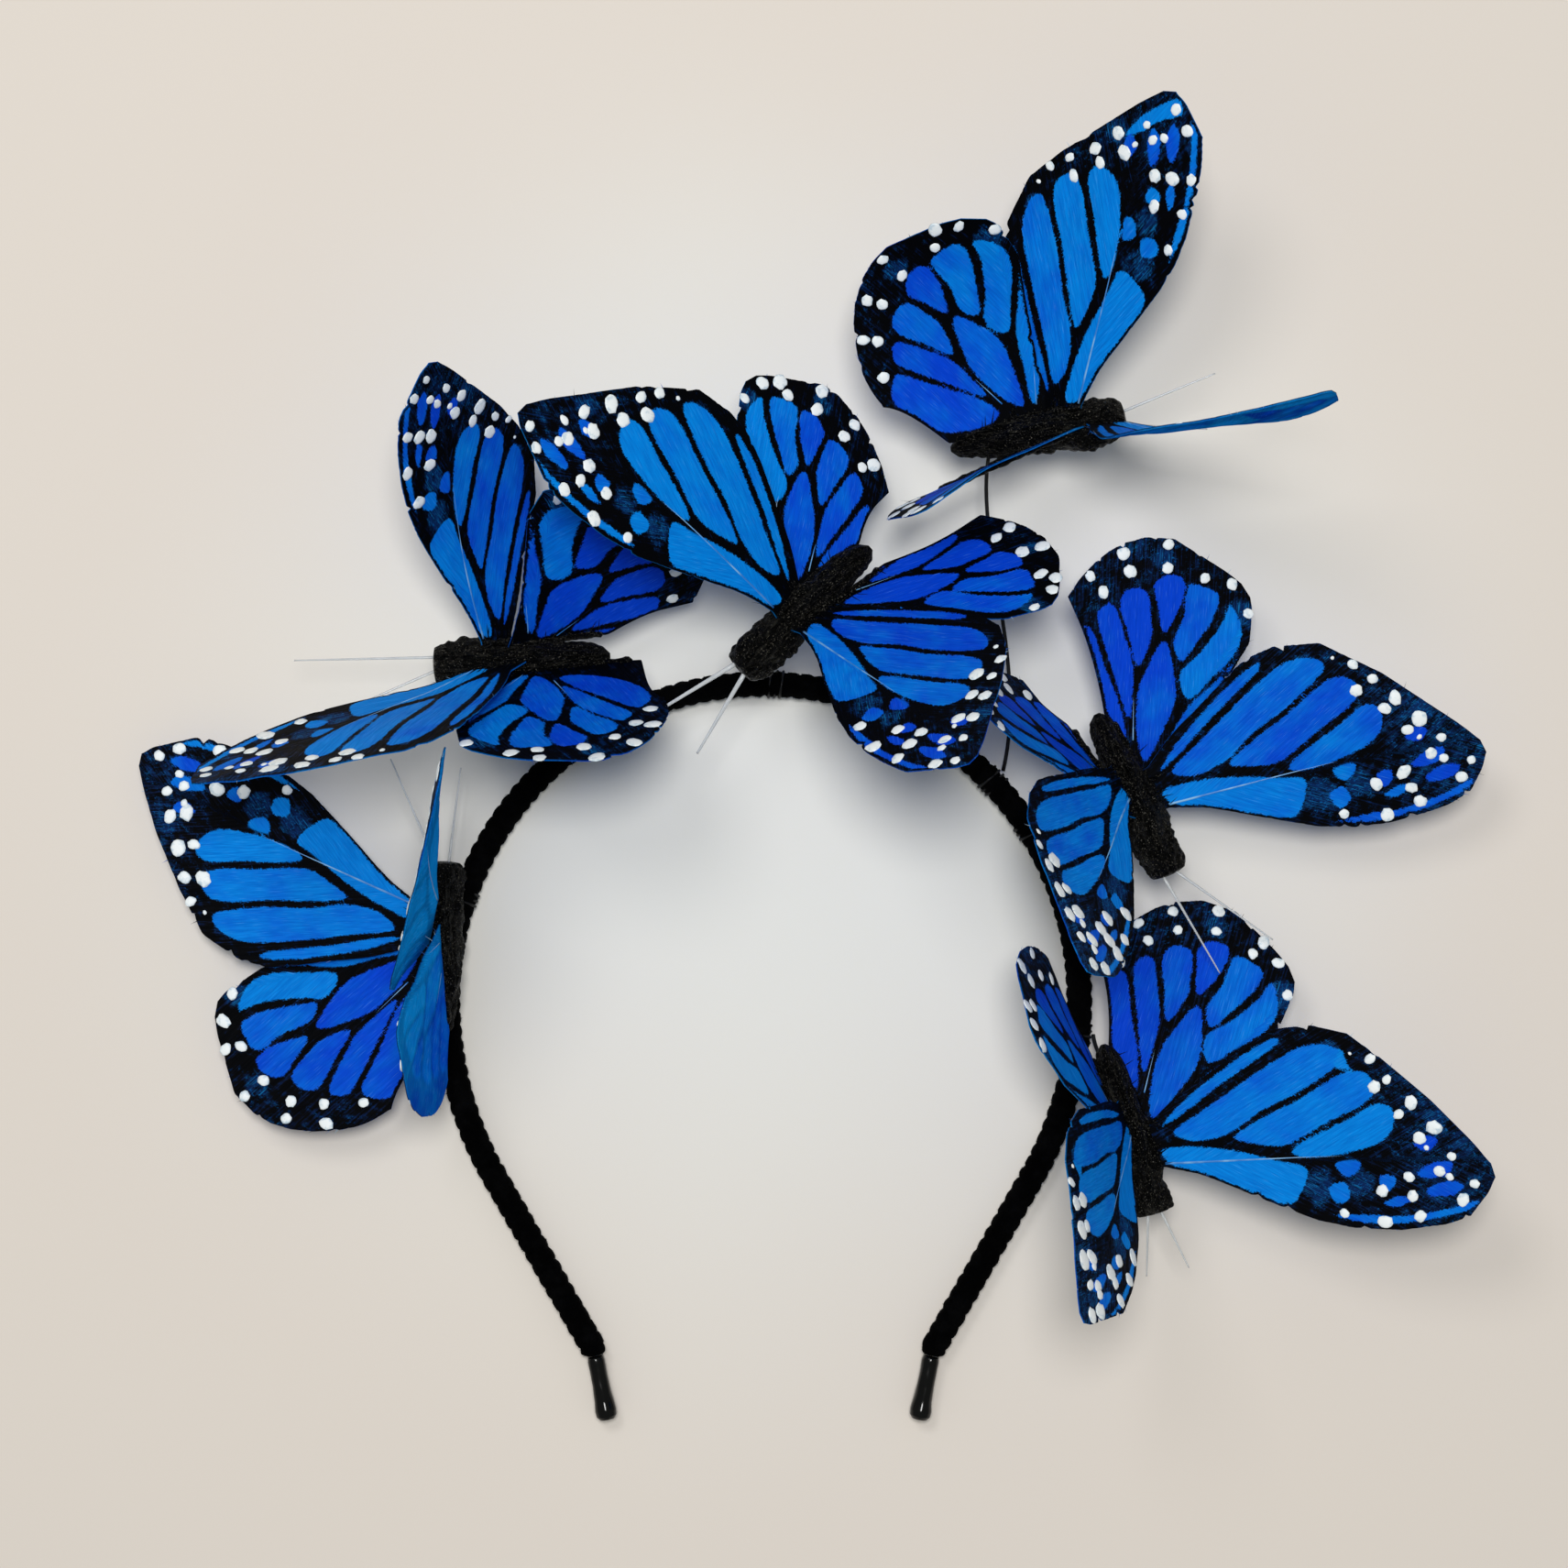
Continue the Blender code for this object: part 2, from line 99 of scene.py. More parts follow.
# Where each butterfly sits: angle round the crown's centre, reach beyond the crown's radius
# and rise above the band's height as shares of STEM_REACH and STEM_RISE, heading, and the
# angle at which its wire leaves the band.
PLACES = {
    "butterfly_1": dict(angle=170.5, reach=0.02, rise=0.19, heading=90, foot=161),
    "butterfly_2": dict(angle=125.0, reach=0.31, rise=0.54, heading=183, foot=124),
    "butterfly_3": dict(angle=84.0, reach=0.23, rise=1.00, heading=223, foot=88),
    "butterfly_4": dict(angle=64.3, reach=0.99, rise=0.61, heading=10, foot=43.7),
    "butterfly_5": dict(angle=29.6, reach=0.33, rise=0.54, heading=-65, foot=33),
    "butterfly_6": dict(angle=-18.8, reach=0.20, rise=0.54, heading=-73, foot=-6),
}

# How each wing is set on its body. Angles are in degrees, curl over the whole span. Span
# and chord are factors on the common size, and shift is a share of the body's length.
# Many values are results of a separate script's least-squares fit to points marked on the
# photograph, and some of those were changed by eye.
WINGS = {
    "butterfly_1": {
        "left_fore": dict(lift=-6, sweep=11, twist=-6, curl=8, span=0.96, chord=0.96, shift=0.04),
        "left_hind": dict(lift=-5, sweep=9, twist=-6, curl=0, span=1.03, chord=1.05, shift=0.10),
        "right_fore": dict(lift=97, sweep=6, twist=-12, curl=-18, span=0.98, chord=1.05, shift=0.07),
        "right_hind": dict(lift=99, sweep=-2, twist=3, curl=0, span=0.96, chord=0.85, shift=0.13),
    },
    "butterfly_2": {
        "left_fore": dict(lift=66, sweep=33, twist=-8, curl=0, span=1.0, chord=1.0, shift=0.06),
        "left_hind": dict(
            lift=65, sweep=30, twist=0, curl=0, span=0.96, chord=1.0, shift=0.06, fan=12,
        ),
        "right_fore": dict(lift=9, sweep=4, twist=49, curl=28, span=0.91, chord=0.89, shift=0.04),
        "right_hind": dict(
            lift=35, sweep=-22, twist=20, curl=0, span=0.95, chord=0.85, shift=0.04, fan=31,
        ),
    },
    "butterfly_3": {
        "left_fore": dict(lift=46, sweep=-18, twist=16, curl=8, span=1.0, chord=0.93, shift=-0.09),
        "left_hind": dict(lift=34, sweep=-27, twist=20, curl=0, span=1.08, chord=0.85, shift=-0.03),
        "right_fore": dict(lift=26, sweep=-9, twist=30, curl=-15, span=1.0, chord=0.98, shift=-0.06),
        "right_hind": dict(lift=6, sweep=-14, twist=24, curl=0, span=1.05, chord=0.84, shift=0.09),
    },
    "butterfly_4": {
        "left_fore": dict(lift=13, sweep=12, twist=38, curl=7, span=0.97, chord=0.99, shift=0.06),
        "left_hind": dict(
            lift=7, sweep=11, twist=-10, curl=32, span=1.03, chord=0.98, shift=0.10, fan=5,
        ),
        "right_fore": dict(lift=72, sweep=15, twist=-8, curl=26, span=0.96, chord=0.82, shift=0.29),
        "right_hind": dict(lift=81, sweep=-35, twist=16, curl=-12, span=0.96, chord=0.77, shift=0.21),
    },
    "butterfly_5": {
        "left_fore": dict(lift=0, sweep=-3, twist=-8, curl=8, span=0.95, chord=1.0, shift=-0.07),
        "left_hind": dict(lift=-7, sweep=-9, twist=-4, curl=0, span=0.98, chord=1.08, shift=0.03),
        "right_fore": dict(lift=57, sweep=8, twist=8, curl=10, span=0.92, chord=0.82, shift=-0.18),
        "right_hind": dict(lift=58, sweep=-24, twist=17, curl=0, span=0.96, chord=0.77, shift=0.10),
    },
    "butterfly_6": {
        "left_fore": dict(lift=14, sweep=-1, twist=2, curl=2, span=0.96, chord=1.02, shift=0.03),
        "left_hind": dict(lift=1, sweep=-4, twist=14, curl=-10, span=1.0, chord=1.09, shift=0.14),
        "right_fore": dict(lift=75, sweep=8, twist=4, curl=-14, span=0.95, chord=0.78, shift=-0.16),
        "right_hind": dict(lift=75, sweep=-16, twist=6, curl=-7, span=1.01, chord=1.0, shift=0.12),
    },
}

# The two bristles at each head, left then right: yaw from the heading, climb, and share of
# the common length. Where a width is given, it is a factor on the common one.
BRISTLE_WIDTH = {"butterfly_3": 1.6}
ANTENNAE = {
    "butterfly_1": [dict(yaw=22, climb=20, length=1), dict(yaw=-8, climb=12, length=0.82)],
    "butterfly_2": [dict(yaw=21, climb=8, length=1), dict(yaw=-2, climb=-4, length=1.2)],
    "butterfly_3": [dict(yaw=16, climb=-14, length=0.77), dict(yaw=-12, climb=-8, length=0.95)],
    "butterfly_4": [dict(yaw=12, climb=10, length=0.82), dict(yaw=-16, climb=30, length=0.73)],
    "butterfly_5": [dict(yaw=30, climb=-2, length=1), dict(yaw=6, climb=-6, length=0.95)],
    "butterfly_6": [dict(yaw=10, climb=-14, length=0.55), dict(yaw=-16, climb=-20, length=0.55)],
}

# Where each wire meets its body, as a share of the body's length, and how far the wire bows
# aside near the band and near the body.
STEMS = {
    "butterfly_1": dict(behind=-0.38, bow_low=0.00, bow_high=0.00),
    "butterfly_2": dict(behind=-0.06, bow_low=0.18, bow_high=0.09),
    "butterfly_3": dict(behind=-0.09, bow_low=-0.22, bow_high=0.15),
    "butterfly_4": dict(behind=0.26, bow_low=-0.10, bow_high=0.08),
    "butterfly_5": dict(behind=-0.03, bow_low=0.09, bow_high=0.06),
    "butterfly_6": dict(behind=0.18, bow_low=-0.08, bow_high=0.08),
}

# The feather's finish.
FEATHER_THICKNESS = 0.36 * MM
FORE_GRID = (116, 62)
HIND_GRID = (78, 58)
ROUND_TIP = 0.04
RAGGED = 0.22 * MM
CUT_FROM = 0.16
NOTCHES = 4
WEB = 1.3 * MM
WEB_SHARE = 0.7
ROOT_SINK = 0.5 * MM
ROOT_BLACK = 0.7
ROOT_REACH = 0.85
TAIL_WIDTH = 0.4
EDGE_TABLE = np.linspace(0.0, 1.0, 401)
WARP = 0.35 * MM
MARGIN = 0.5
GROW = {"fore": -0.12, "hind": 0.03}
SHAFT_RADIUS = 0.3 * MM
SHAFT_STEPS = 40
LOOSE_BARBS = 26
ROOT_BARBS = 14

# A wing raised by more degrees than the first of these waves more and has larger dots.
UPRIGHT_LIFT = 50
UPRIGHT_WAVES = 2.6
UPRIGHT_DOTS = 1.25

# The dome of a dot, from its rim up: share of its radius, and height.
DOT_SIDES = 14
DOT_DOME = ((1.0, -0.1), (0.95, 0.06), (0.75, 0.14), (0.4, 0.19), (0.05, 0.2))

# The painted body, and the black paint at the wings' roots.
BODY_ROUND = 0.016
BODY_ROWS = 96
BODY_SIDES = 64
BEAD_STEPS = 60
BEAD_SIDES = 12
BEAD_RADIUS = 0.62
BEAD_LUMP = 0.4
BEAD_STRANDS = 9

# The bristles and wires.
ANTENNA_STEPS = 24
ANTENNA_SINK = 1.6 * MM
STEM_STEPS = 30
WIRE_TURNS = 3
WIRE_TURN_STEPS = 28
WIRE_TURN_PITCH = 1.1 * MM

# The painted cells of a wing at the common size, in millimetres: x ahead of the root and
# y outwards. Shade runs from deep blue at 0 to sky blue at 1. They were marked on one wing
# pair in the photograph, turned into flat millimetres by a script, rounded and
# partly redrawn.
FORE_CELLS = [
    dict(shade=0.95, loop=[
        (0.5, 1), (2, 8), (5, 15.5), (9, 23), (11, 27), (13.5, 26.5), (16.5, 23.5), (17, 21),
        (13.5, 15), (8, 7), (3.5, 1)]),
    dict(shade=0.6, loop=[
        (-2, 4), (-4.5, 11.5), (-7.5, 21), (-10.2, 31), (-10.2, 36.5), (-8, 40.5), (-5.5, 40),
        (-2.6, 31), (-1, 22), (1.2, 15), (1, 8)]),
    dict(shade=0.65, loop=[
        (2, 15), (0, 22), (-1.4, 30), (-3.6, 39), (-2.8, 43.5), (0.5, 45), (2.8, 42), (4.4, 34),
        (5.8, 28), (6.3, 23.5), (4.2, 18)]),
    dict(shade=0.8, loop=[
        (7.8, 25.5), (6.5, 29.5), (5.2, 37.5), (3.8, 44), (5.5, 47), (9, 46), (11, 42.5),
        (11.2, 35.5), (10.4, 29.5), (9.2, 26)]),
    dict(shade=0.55, loop=[
        (-3.2, 2), (-6.7, 8), (-9.8, 16), (-12.3, 24), (-13, 29.5), (-11.6, 29), (-9.5, 22.5),
        (-7, 14.5), (-4.2, 7)]),
    dict(shade=1.2, only="butterfly_6", loop=[(-8, 41), (-4, 41.5), (-2.5, 43.5), (-5, 38.5)]),
    dict(shade=0.8, only="butterfly_4", loop=[
        (12, 53.5), (15, 57), (20, 60), (23.5, 61), (24, 58), (19.5, 56.5), (15, 54)]),
    dict(shade=0.6, loop=[(12, 33), (12.5, 37.5), (14.5, 37), (15, 34)]),
    dict(shade=0.8, loop=[(16, 30), (16, 33.5), (19, 33.5), (19.5, 30.5)]),
    dict(shade=0.2, loop=[(13, 48.5), (12, 51.5), (13.5, 53.5), (15, 51)]),
    dict(shade=0.4, loop=[(17, 40.5), (17.5, 43.5), (19.5, 43), (20, 40.5)]),
    dict(shade=0.3, loop=[(18, 47.5), (17, 51.5), (18, 55), (20, 53), (19.5, 49)]),
    dict(shade=0.3, loop=[(21.5, 49), (21, 53), (22.5, 56), (24, 53.5), (23, 49)]),
    dict(shade=0.5, loop=[(21.5, 39.5), (21, 43.5), (22.5, 45), (23, 42)]),
    dict(shade=0.6, loop=[
        (21.5, 29), (23, 35.5), (25, 42), (26, 50), (26, 57.5), (27.5, 54.5), (27, 45), (25, 36)]),
]
HIND_CELLS = [
    dict(shade=0.1, loop=[
        (-27.5, 0.5), (-28.3, 4), (-27, 6), (-20.5, 4.2), (-12.5, 2.2), (-7, -0.5), (-9, -3),
        (-16, -4.5), (-23, -3)]),
    dict(shade=0.2, loop=[
        (-27.5, 8), (-29, 10.5), (-28, 12.3), (-21.5, 10.5), (-17.5, 9), (-13.5, 6), (-10, 2.5),
        (-19, 5.2)]),
    dict(shade=0.3, loop=[
        (-28, 14), (-29.2, 17), (-27, 19.6), (-22.5, 17.3), (-19.8, 15.3), (-17, 10.2),
        (-22.5, 12)]),
    dict(shade=0.25, loop=[
        (-27, 21.3), (-27.3, 24.5), (-25, 26.8), (-22.3, 24.6), (-20.2, 21), (-19.3, 17.8),
        (-24, 19.8)]),
    dict(shade=0.5, loop=[
        (-23.5, 27.3), (-21.5, 30), (-19, 31.2), (-16.5, 28), (-14.3, 22), (-13.2, 17.8),
        (-16.8, 18.6), (-19.5, 23)]),
    dict(shade=0.8, loop=[
        (-16.8, 32), (-14, 32), (-11, 30.5), (-9, 27), (-8, 21.5), (-7.2, 14.8), (-11.7, 16.2),
        (-12.8, 22), (-14.8, 28.5)]),
    dict(shade=0.3, loop=[
        (-3, 0.5), (-8, 3), (-13, 7.2), (-15.6, 11.5), (-17.6, 15.5), (-17, 17), (-12.5, 15.2),
        (-8, 12.3), (-5, 7.5), (-2, 1.5)]),
    dict(shade=0.7, loop=[
        (-0.5, 1), (-3.2, 8), (-5.6, 14), (-6.5, 21), (-7.6, 27.5), (-5.8, 27), (-3.5, 20),
        (-1.6, 12), (0.4, 4)]),
]

# White dots: x, y and radius in millimetres at the common size, found as the cells were.
FORE_DOTS = [
    (-4.5, 46, 0.9), (0, 48, 1.0), (5.5, 50.5, 1.25), (11, 53.5, 1.3), (16.5, 55.5, 0.9),
    (23, 58.3, 0.95), (25.3, 55, 1.1), (26, 46, 1.2), (25, 38.5, 1.2), (21.3, 31.5, 1.1),
    (0.7, 44.3, 1.2), (6.5, 47.5, 1.1), (12.3, 50.3, 1.3), (14.3, 51.3, 0.6), (18.5, 52.2, 1.0),
    (20.5, 53.5, 0.8), (18.7, 45.7, 1.2), (19, 40, 1.2), (22, 45.5, 1.2), (-6.8, 42.6, 0.4),
]
HIND_DOTS = [
    (-34.9, 12, 1.05), (-35, 19.5, 1.1), (-32, 27.8, 1.2), (-26.3, 33.6, 1.2), (-19.5, 34.9, 1.1),
    (-12.6, 34.2, 1.0), (-30, 5.5, 1.1), (-31.3, 12.6, 1.05), (-31.2, 19.2, 1.05),
    (-28.6, 25.2, 1.15), (-23.2, 30.6, 1.0),
]

# How the six differ: size of their dots, how light their blue is on the left and right
# wings, and how blue their black is. Hind wings are a little deeper in all.
DOT_SIZE = {
    "butterfly_1": 1.15, "butterfly_2": 1.1, "butterfly_3": 1.2, "butterfly_4": 1.05,
    "butterfly_5": 1.1, "butterfly_6": 1.05,
}
SHADE_SHIFT = {
    "butterfly_1": {"left": 0.1, "right": 0.25},
    "butterfly_2": {"left": 0.1, "right": -0.2},
    "butterfly_3": {"left": -0.25, "right": 0.15},
    "butterfly_4": {"left": 0.1, "right": 0.0},
    "butterfly_5": {"left": -0.15, "right": 0.0},
    "butterfly_6": {"left": 0.0, "right": 0.1},
}
HIND_DEEPER = 0.08
NAVY = {
    "butterfly_1": 0.1, "butterfly_2": 0.15, "butterfly_3": 0.0, "butterfly_4": 0.05,
    "butterfly_5": 0.3, "butterfly_6": 0.25,
}

# Feather shafts, from the root outwards, in millimetres at the common size.
FORE_SHAFTS = [[(3.5, 0.5), (6.4, 13.4), (9.3, 26.3), (12.9, 41.6), (16.5, 52.5)]]
HIND_SHAFTS = [
    [(0.5, 1), (-1.5, 10), (-6, 19), (-11, 28.5)],
    [(-6.4, 1), (-13.4, 6.3), (-19.7, 11.1), (-27.5, 17.2)],
]
BARB_ANGLE = 28.0

# Steps along each stretch of the band's centreline, and the shape of its end dips.
CROWN_STEPS = 120
SIDE_STEPS = 60
LEG_STEPS = 30
BEND_STEPS = 6
TIP_SHARES = (0.0, 0.06, 0.2, 0.45, 0.7, 0.84, 0.93, 0.98, 1.0)
TIP_WIDTHS = (0.9, 1.0, 0.98, 1.0, 1.12, 1.26, 1.2, 0.9, 0.35)
TIP_ROWS = 48
TIP_SIDES = 32

# The velvet winding.
WIND_PITCH = 2.7 * MM
WIND_DEPTH = 0.5 * MM
WIND_PROUD = 0.12 * MM
WIND_STEP = 0.32 * MM
WIND_SIDES = 36
PILE_FIBRES = 13000
PILE_LENGTH = 0.42 * MM
PILE_WIDTH = 0.06 * MM

# The camera looks straight down on the photograph's square frame.
CAMERA_PLACE = (-4.4 * MM, -1.3 * MM, 0.75)
FRAME_WIDTH = 0.309
SENSOR = 36.0

# The floor and the soft lamps above it.
FLOOR_HALF = 1.5
OVERHEAD = dict(place=(0.0, 0.13, 1.18), size=0.28, watts=7.9, colour=(1.0, 1.0, 0.98))
WINDOW = dict(place=(-0.25, 0.35, 0.85), size=0.3, watts=1.6, colour=(1.0, 1.0, 1.0))
STUDIO_COLOUR = (0.96, 1.0, 0.95, 1.0)
STUDIO_STRENGTH = 0.27


class Look:
    """A node material, with short calls that add a node and return its output."""

    def __init__(self, name):
        self.material = bpy.data.materials.new(name)
        self.material.use_nodes = True
        self.tree = self.material.node_tree
        self.shader = self.tree.nodes["Principled BSDF"]

    def put(self, socket, value):
        if isinstance(value, bpy.types.NodeSocket):
            self.tree.links.new(value, socket)
        else:
            socket.default_value = value

    def node(self, kind, inputs, output=0, **settings):
        made = self.tree.nodes.new(kind)
        for key, value in settings.items():
            setattr(made, key, value)
        for key, value in inputs.items():
            self.put(made.inputs[key], value)
        return made.outputs[output]

    def attribute(self, name, output="Fac"):
        return self.node("ShaderNodeAttribute", {}, output, attribute_name=name)

    def math(self, operation, first, second=0.0):
        return self.node("ShaderNodeMath", {0: first, 1: second}, operation=operation)

    def plus(self, first, second, share):
        """The first value plus a share of the second."""
        return self.math("ADD", first, self.math("MULTIPLY", second, share))

    def centred(self, value, size=1.0):
        """A value's swing about one half, times a size."""
        return self.math("MULTIPLY", self.math("SUBTRACT", value, 0.5), size)

    def noise(self, vector, scale, detail=2.0, roughness=0.5):
        inputs = {"Vector": vector, "Scale": scale, "Detail": detail, "Roughness": roughness}
        return self.node("ShaderNodeTexNoise", inputs)

    def stretch(self, vector, scale):
        inputs = {"Vector": vector, "Scale": scale}
        return self.node("ShaderNodeMapping", inputs, vector_type="POINT")

    def step(self, value, low, high, start=0.0, end=1.0):
        """A smooth step from start to end as value goes from low to high."""
        inputs = {"Value": value, "From Min": low, "From Max": high, "To Min": start, "To Max": end}
        return self.node("ShaderNodeMapRange", inputs, interpolation_type="SMOOTHSTEP")

    def mix(self, share, first, second):
        """A colour between first and second."""
        made = self.tree.nodes.new("ShaderNodeMix")
        made.data_type = "RGBA"
        self.put(made.inputs[0], share)
        for socket, value in ((made.inputs[6], first), (made.inputs[7], second)):
            self.put(socket, value if isinstance(value, bpy.types.NodeSocket) else (*value, 1.0))
        return made.outputs[2]

    def bump(self, height, strength, distance):
        inputs = {"Height": height, "Strength": strength, "Distance": distance}
        self.put(self.shader.inputs["Normal"], self.node("ShaderNodeBump", inputs))

    def place(self):
        return self.node("ShaderNodeTexCoord", {}, "Object")

    def finish(self, colour, roughness, specular=None):
        """The surface's colour and roughness, and its specular level where it has its own."""
        inputs = self.shader.inputs
        self.put(inputs["Base Color"], colour)
        self.put(inputs["Roughness"], roughness)
        if specular is not None:
            self.put(inputs["Specular IOR Level"], specular)


def feather_look():
    """Dyed feather: blue cells between brushed black veins, and plain blue underneath, partly
    lightened with painted light.
    """
    look = Look("feather_paint")
    flow = look.attribute("flow", "Vector")
    barbs = look.noise(look.stretch(flow, (2.6, 0.12, 1.0)), 1.0, 3.0, 0.6)
    fine = look.noise(look.stretch(flow, (9.0, 0.25, 1.0)), 1.0, 1.0, 0.5)
    blotch = look.noise(look.stretch(flow, (0.16, 0.1, 1.0)), 1.0, 2.0, 0.55)
    grain = look.noise(flow, 3.2, 3.0, 0.65)

    brushed = look.math("ADD", look.centred(grain), look.centred(fine, 0.5))
    wander = look.math("ADD", brushed, look.centred(look.noise(flow, 0.8), 0.6))
    depth = look.math("ADD", look.attribute("cell"), wander)
    inside = look.step(depth, -0.12, 0.12)

    shade = look.math("ADD", look.attribute("shade"), look.math("SUBTRACT", blotch, 0.5))
    tone = look.step(shade, 0.0, 1.0)
    mostly_barbs = look.math("MULTIPLY", barbs, 0.6)
    dark = look.step(look.plus(mostly_barbs, fine, 0.4), 0.3, 0.7, 1.0, 0.0)
    blue = look.mix(tone, (0.001, 0.06, 0.68), (0.001, 0.26, 0.82))
    blue = look.mix(look.math("MULTIPLY", dark, 0.42), blue, (0.001, 0.025, 0.33))
    blue = look.mix(look.step(fine, 0.62, 0.8, 0.0, 0.3), blue, (0.12, 0.36, 0.75))

    patches = look.centred(look.noise(flow, 0.45, 3.0, 0.6), 2.2)
    speckle = look.math("ADD", look.attribute("speckle"), patches)
    navy = look.step(look.plus(barbs, speckle, 0.3), 0.6, 0.95, 0.0, 0.9)
    black = look.mix(navy, (0.0006, 0.0008, 0.0016), (0.002, 0.02, 0.1))
    dust = look.step(look.noise(flow, 1.7, 4.0, 0.8), 0.56, 0.62)
    grains = look.math("MULTIPLY", dust, look.step(speckle, 0.25, 1.0, 0.0, 0.85))
    black = look.mix(grains, black, (0.002, 0.1, 0.34))
    freckled = look.step(speckle, 0.5, 1.1, 0.0, 0.8)
    loose = look.math("MULTIPLY", look.step(fine, 0.58, 0.68), freckled)
    black = look.mix(loose, black, (0.006, 0.16, 0.42))
    upper = look.mix(inside, black, blue)

    # Lighter than the dye above: partly painted light, for undersides that face sideways to the
    # lamps.
    lower = look.mix(tone, (0.002, 0.08, 0.75), (0.005, 0.37, 1.0))
    lower = look.mix(look.math("MULTIPLY", dark, 0.45), lower, (0.001, 0.04, 0.3))
    # Pale streaks underneath: partly light barbs, partly painted highlights on the feather's
    # wrinkles.
    lower = look.mix(look.step(fine, 0.6, 0.78, 0.0, 0.4), lower, (0.16, 0.5, 0.85))
    ghost = look.step(depth, -0.8, 0.8, 0.35, 0.0)
    lower = look.mix(ghost, lower, (0.002, 0.02, 0.12))

    under = look.attribute("under")
    roughness = look.step(barbs, 0.2, 0.8, 0.75, 0.5)
    look.finish(look.mix(under, upper, lower), roughness, look.step(under, 0.0, 1.0, 0.03, 0.0))
    look.bump(look.plus(mostly_barbs, fine, 0.5), 0.5, 0.12 * MM)
    return look.material


def dot_look():
    """Thick white paint, faintly grey where it is thin."""
    look = Look("dot_paint")
    thin = look.noise(look.place(), 900.0, 3.0, 0.6)
    worn = look.step(look.plus(thin, look.attribute("rim"), 0.25), 0.62, 0.9, 0.0, 0.6)
    colour = look.mix(worn, (0.86, 0.9, 0.92), (0.3, 0.46, 0.6))
    look.finish(colour, look.step(thin, 0.2, 0.8, 0.6, 0.4))
    look.bump(thin, 0.4, 0.1 * MM)
    return look.material


def shaft_look():
    """Pale quill, tinted by the dye."""
    look = Look("quill")
    place = look.place()
    tint = look.noise(place, 260.0, 2.0, 0.5)
    look.finish(look.mix(look.step(tint, 0.35, 0.65), (0.2, 0.45, 0.75), (0.03, 0.2, 0.6)), 0.35)
    look.bump(look.noise(place, 2200.0, 1.0), 0.2, 0.05 * MM)
    return look.material


def barb_look():
    """Loose barbs: some black, some blue, a few nearly white."""
    look = Look("loose_barbs")
    tone = look.attribute("tone")
    streak = look.noise(look.place(), 700.0, 1.0)
    blue = look.mix(look.step(tone, 0.3, 0.5), (0.003, 0.004, 0.008), (0.01, 0.12, 0.55))
    colour = look.mix(look.step(tone, 0.72, 0.85), blue, (0.4, 0.6, 0.78))
    look.finish(look.mix(look.math("MULTIPLY", streak, 0.25), colour, (0.002, 0.02, 0.12)), 0.5)
    return look.material


def paint_look():
    """Rough black body paint with worn brush ridges, and pale warm specks of painted glints."""
    look = Look("rough_black")
    along = look.attribute("along", "Vector")
    ridges = look.noise(look.stretch(along, (0.3, 1.4, 1.4)), 1.0, 3.0, 0.6)
    grit = look.noise(along, 3.2, 4.0, 0.7)
    worn = look.step(ridges, 0.54, 0.7)
    colour = look.mix(worn, (0.0003, 0.0003, 0.0003), (0.018, 0.017, 0.014))
    # Pale warm specks: painted glints, light caught on the paint's facets.
    painted_glints = look.step(look.noise(along, 4.0, 2.0, 0.5), 0.63, 0.69, 0.0, 0.45)
    colour = look.mix(painted_glints, colour, (0.32, 0.3, 0.25))
    look.finish(colour, look.step(grit, 0.3, 0.7, 0.16, 0.45), 0.1)
    look.bump(look.plus(ridges, grit, 0.3), 1.0, 1.6 * MM)
    return look.material


def velvet_look():
    """Black velvet: almost no light comes back but a soft rim and tiny glints."""
    look = Look("black_velvet")
    place = look.place()
    pile = look.noise(place, 2600.0, 2.0, 0.7)
    worn = look.step(look.noise(place, 240.0, 3.0, 0.6), 0.4, 0.8)
    colour = look.mix(worn, (0.0004, 0.0004, 0.0005), (0.0022, 0.0022, 0.0025))
    look.finish(colour, look.step(pile, 0.3, 0.7, 0.8, 1.0), 0.02)
    look.bump(pile, 0.8, 0.25 * MM)
    return look.material


def dip_look():
    """Glossy black end dip with a faintly wavy surface."""
    look = Look("black_dip")
    wave = look.noise(look.place(), 220.0, 2.0, 0.5)
    colour = look.mix(wave, (0.001, 0.001, 0.001), (0.003, 0.003, 0.003))
    look.finish(colour, look.step(wave, 0.3, 0.7, 0.12, 0.24), 0.12)
    look.shader.inputs["Coat Weight"].default_value = 0.25
    look.shader.inputs["Coat Roughness"].default_value = 0.08
    look.bump(wave, 0.35, 0.4 * MM)
    return look.material


def bristle_look():
    """Clear nylon bristle that shows nearly white."""
    look = Look("clear_bristle")
    haze = look.noise(look.place(), 400.0, 2.0, 0.5)
    look.finish(look.mix(haze, (0.86, 0.88, 0.9), (0.66, 0.69, 0.72)), 0.25)
    look.shader.inputs["Transmission Weight"].default_value = 0.45
    look.shader.inputs["IOR"].default_value = 1.45
    return look.material


def wire_look():
    """Thin lacquered black wire."""
    look = Look("lacquered_wire")
    scuff = look.noise(look.place(), 1500.0, 2.0, 0.6)
    colour = look.mix(scuff, (0.003, 0.003, 0.003), (0.015, 0.015, 0.016))
    look.finish(colour, look.step(scuff, 0.3, 0.7, 0.4, 0.6), 0.2)
    look.bump(scuff, 0.3, 0.05 * MM)
    return look.material


def floor_look():
    """Plain pale paper, a little darker and warmer away from the middle."""
    look = Look("pale_paper")
    place = look.place()
    away = look.node("ShaderNodeVectorMath", {0: place}, 1, operation="LENGTH")
    uneven = look.noise(place, 5.0, 2.0, 0.5)
    tone = look.step(look.plus(away, uneven, 0.08), 0.07, 0.2)
    look.finish(look.mix(tone, (0.84, 0.83, 0.79), (0.77, 0.70, 0.64)), 0.9, 0.1)
    look.bump(look.noise(place, 900.0, 3.0, 0.6), 0.15, 0.1 * MM)
    return look.material


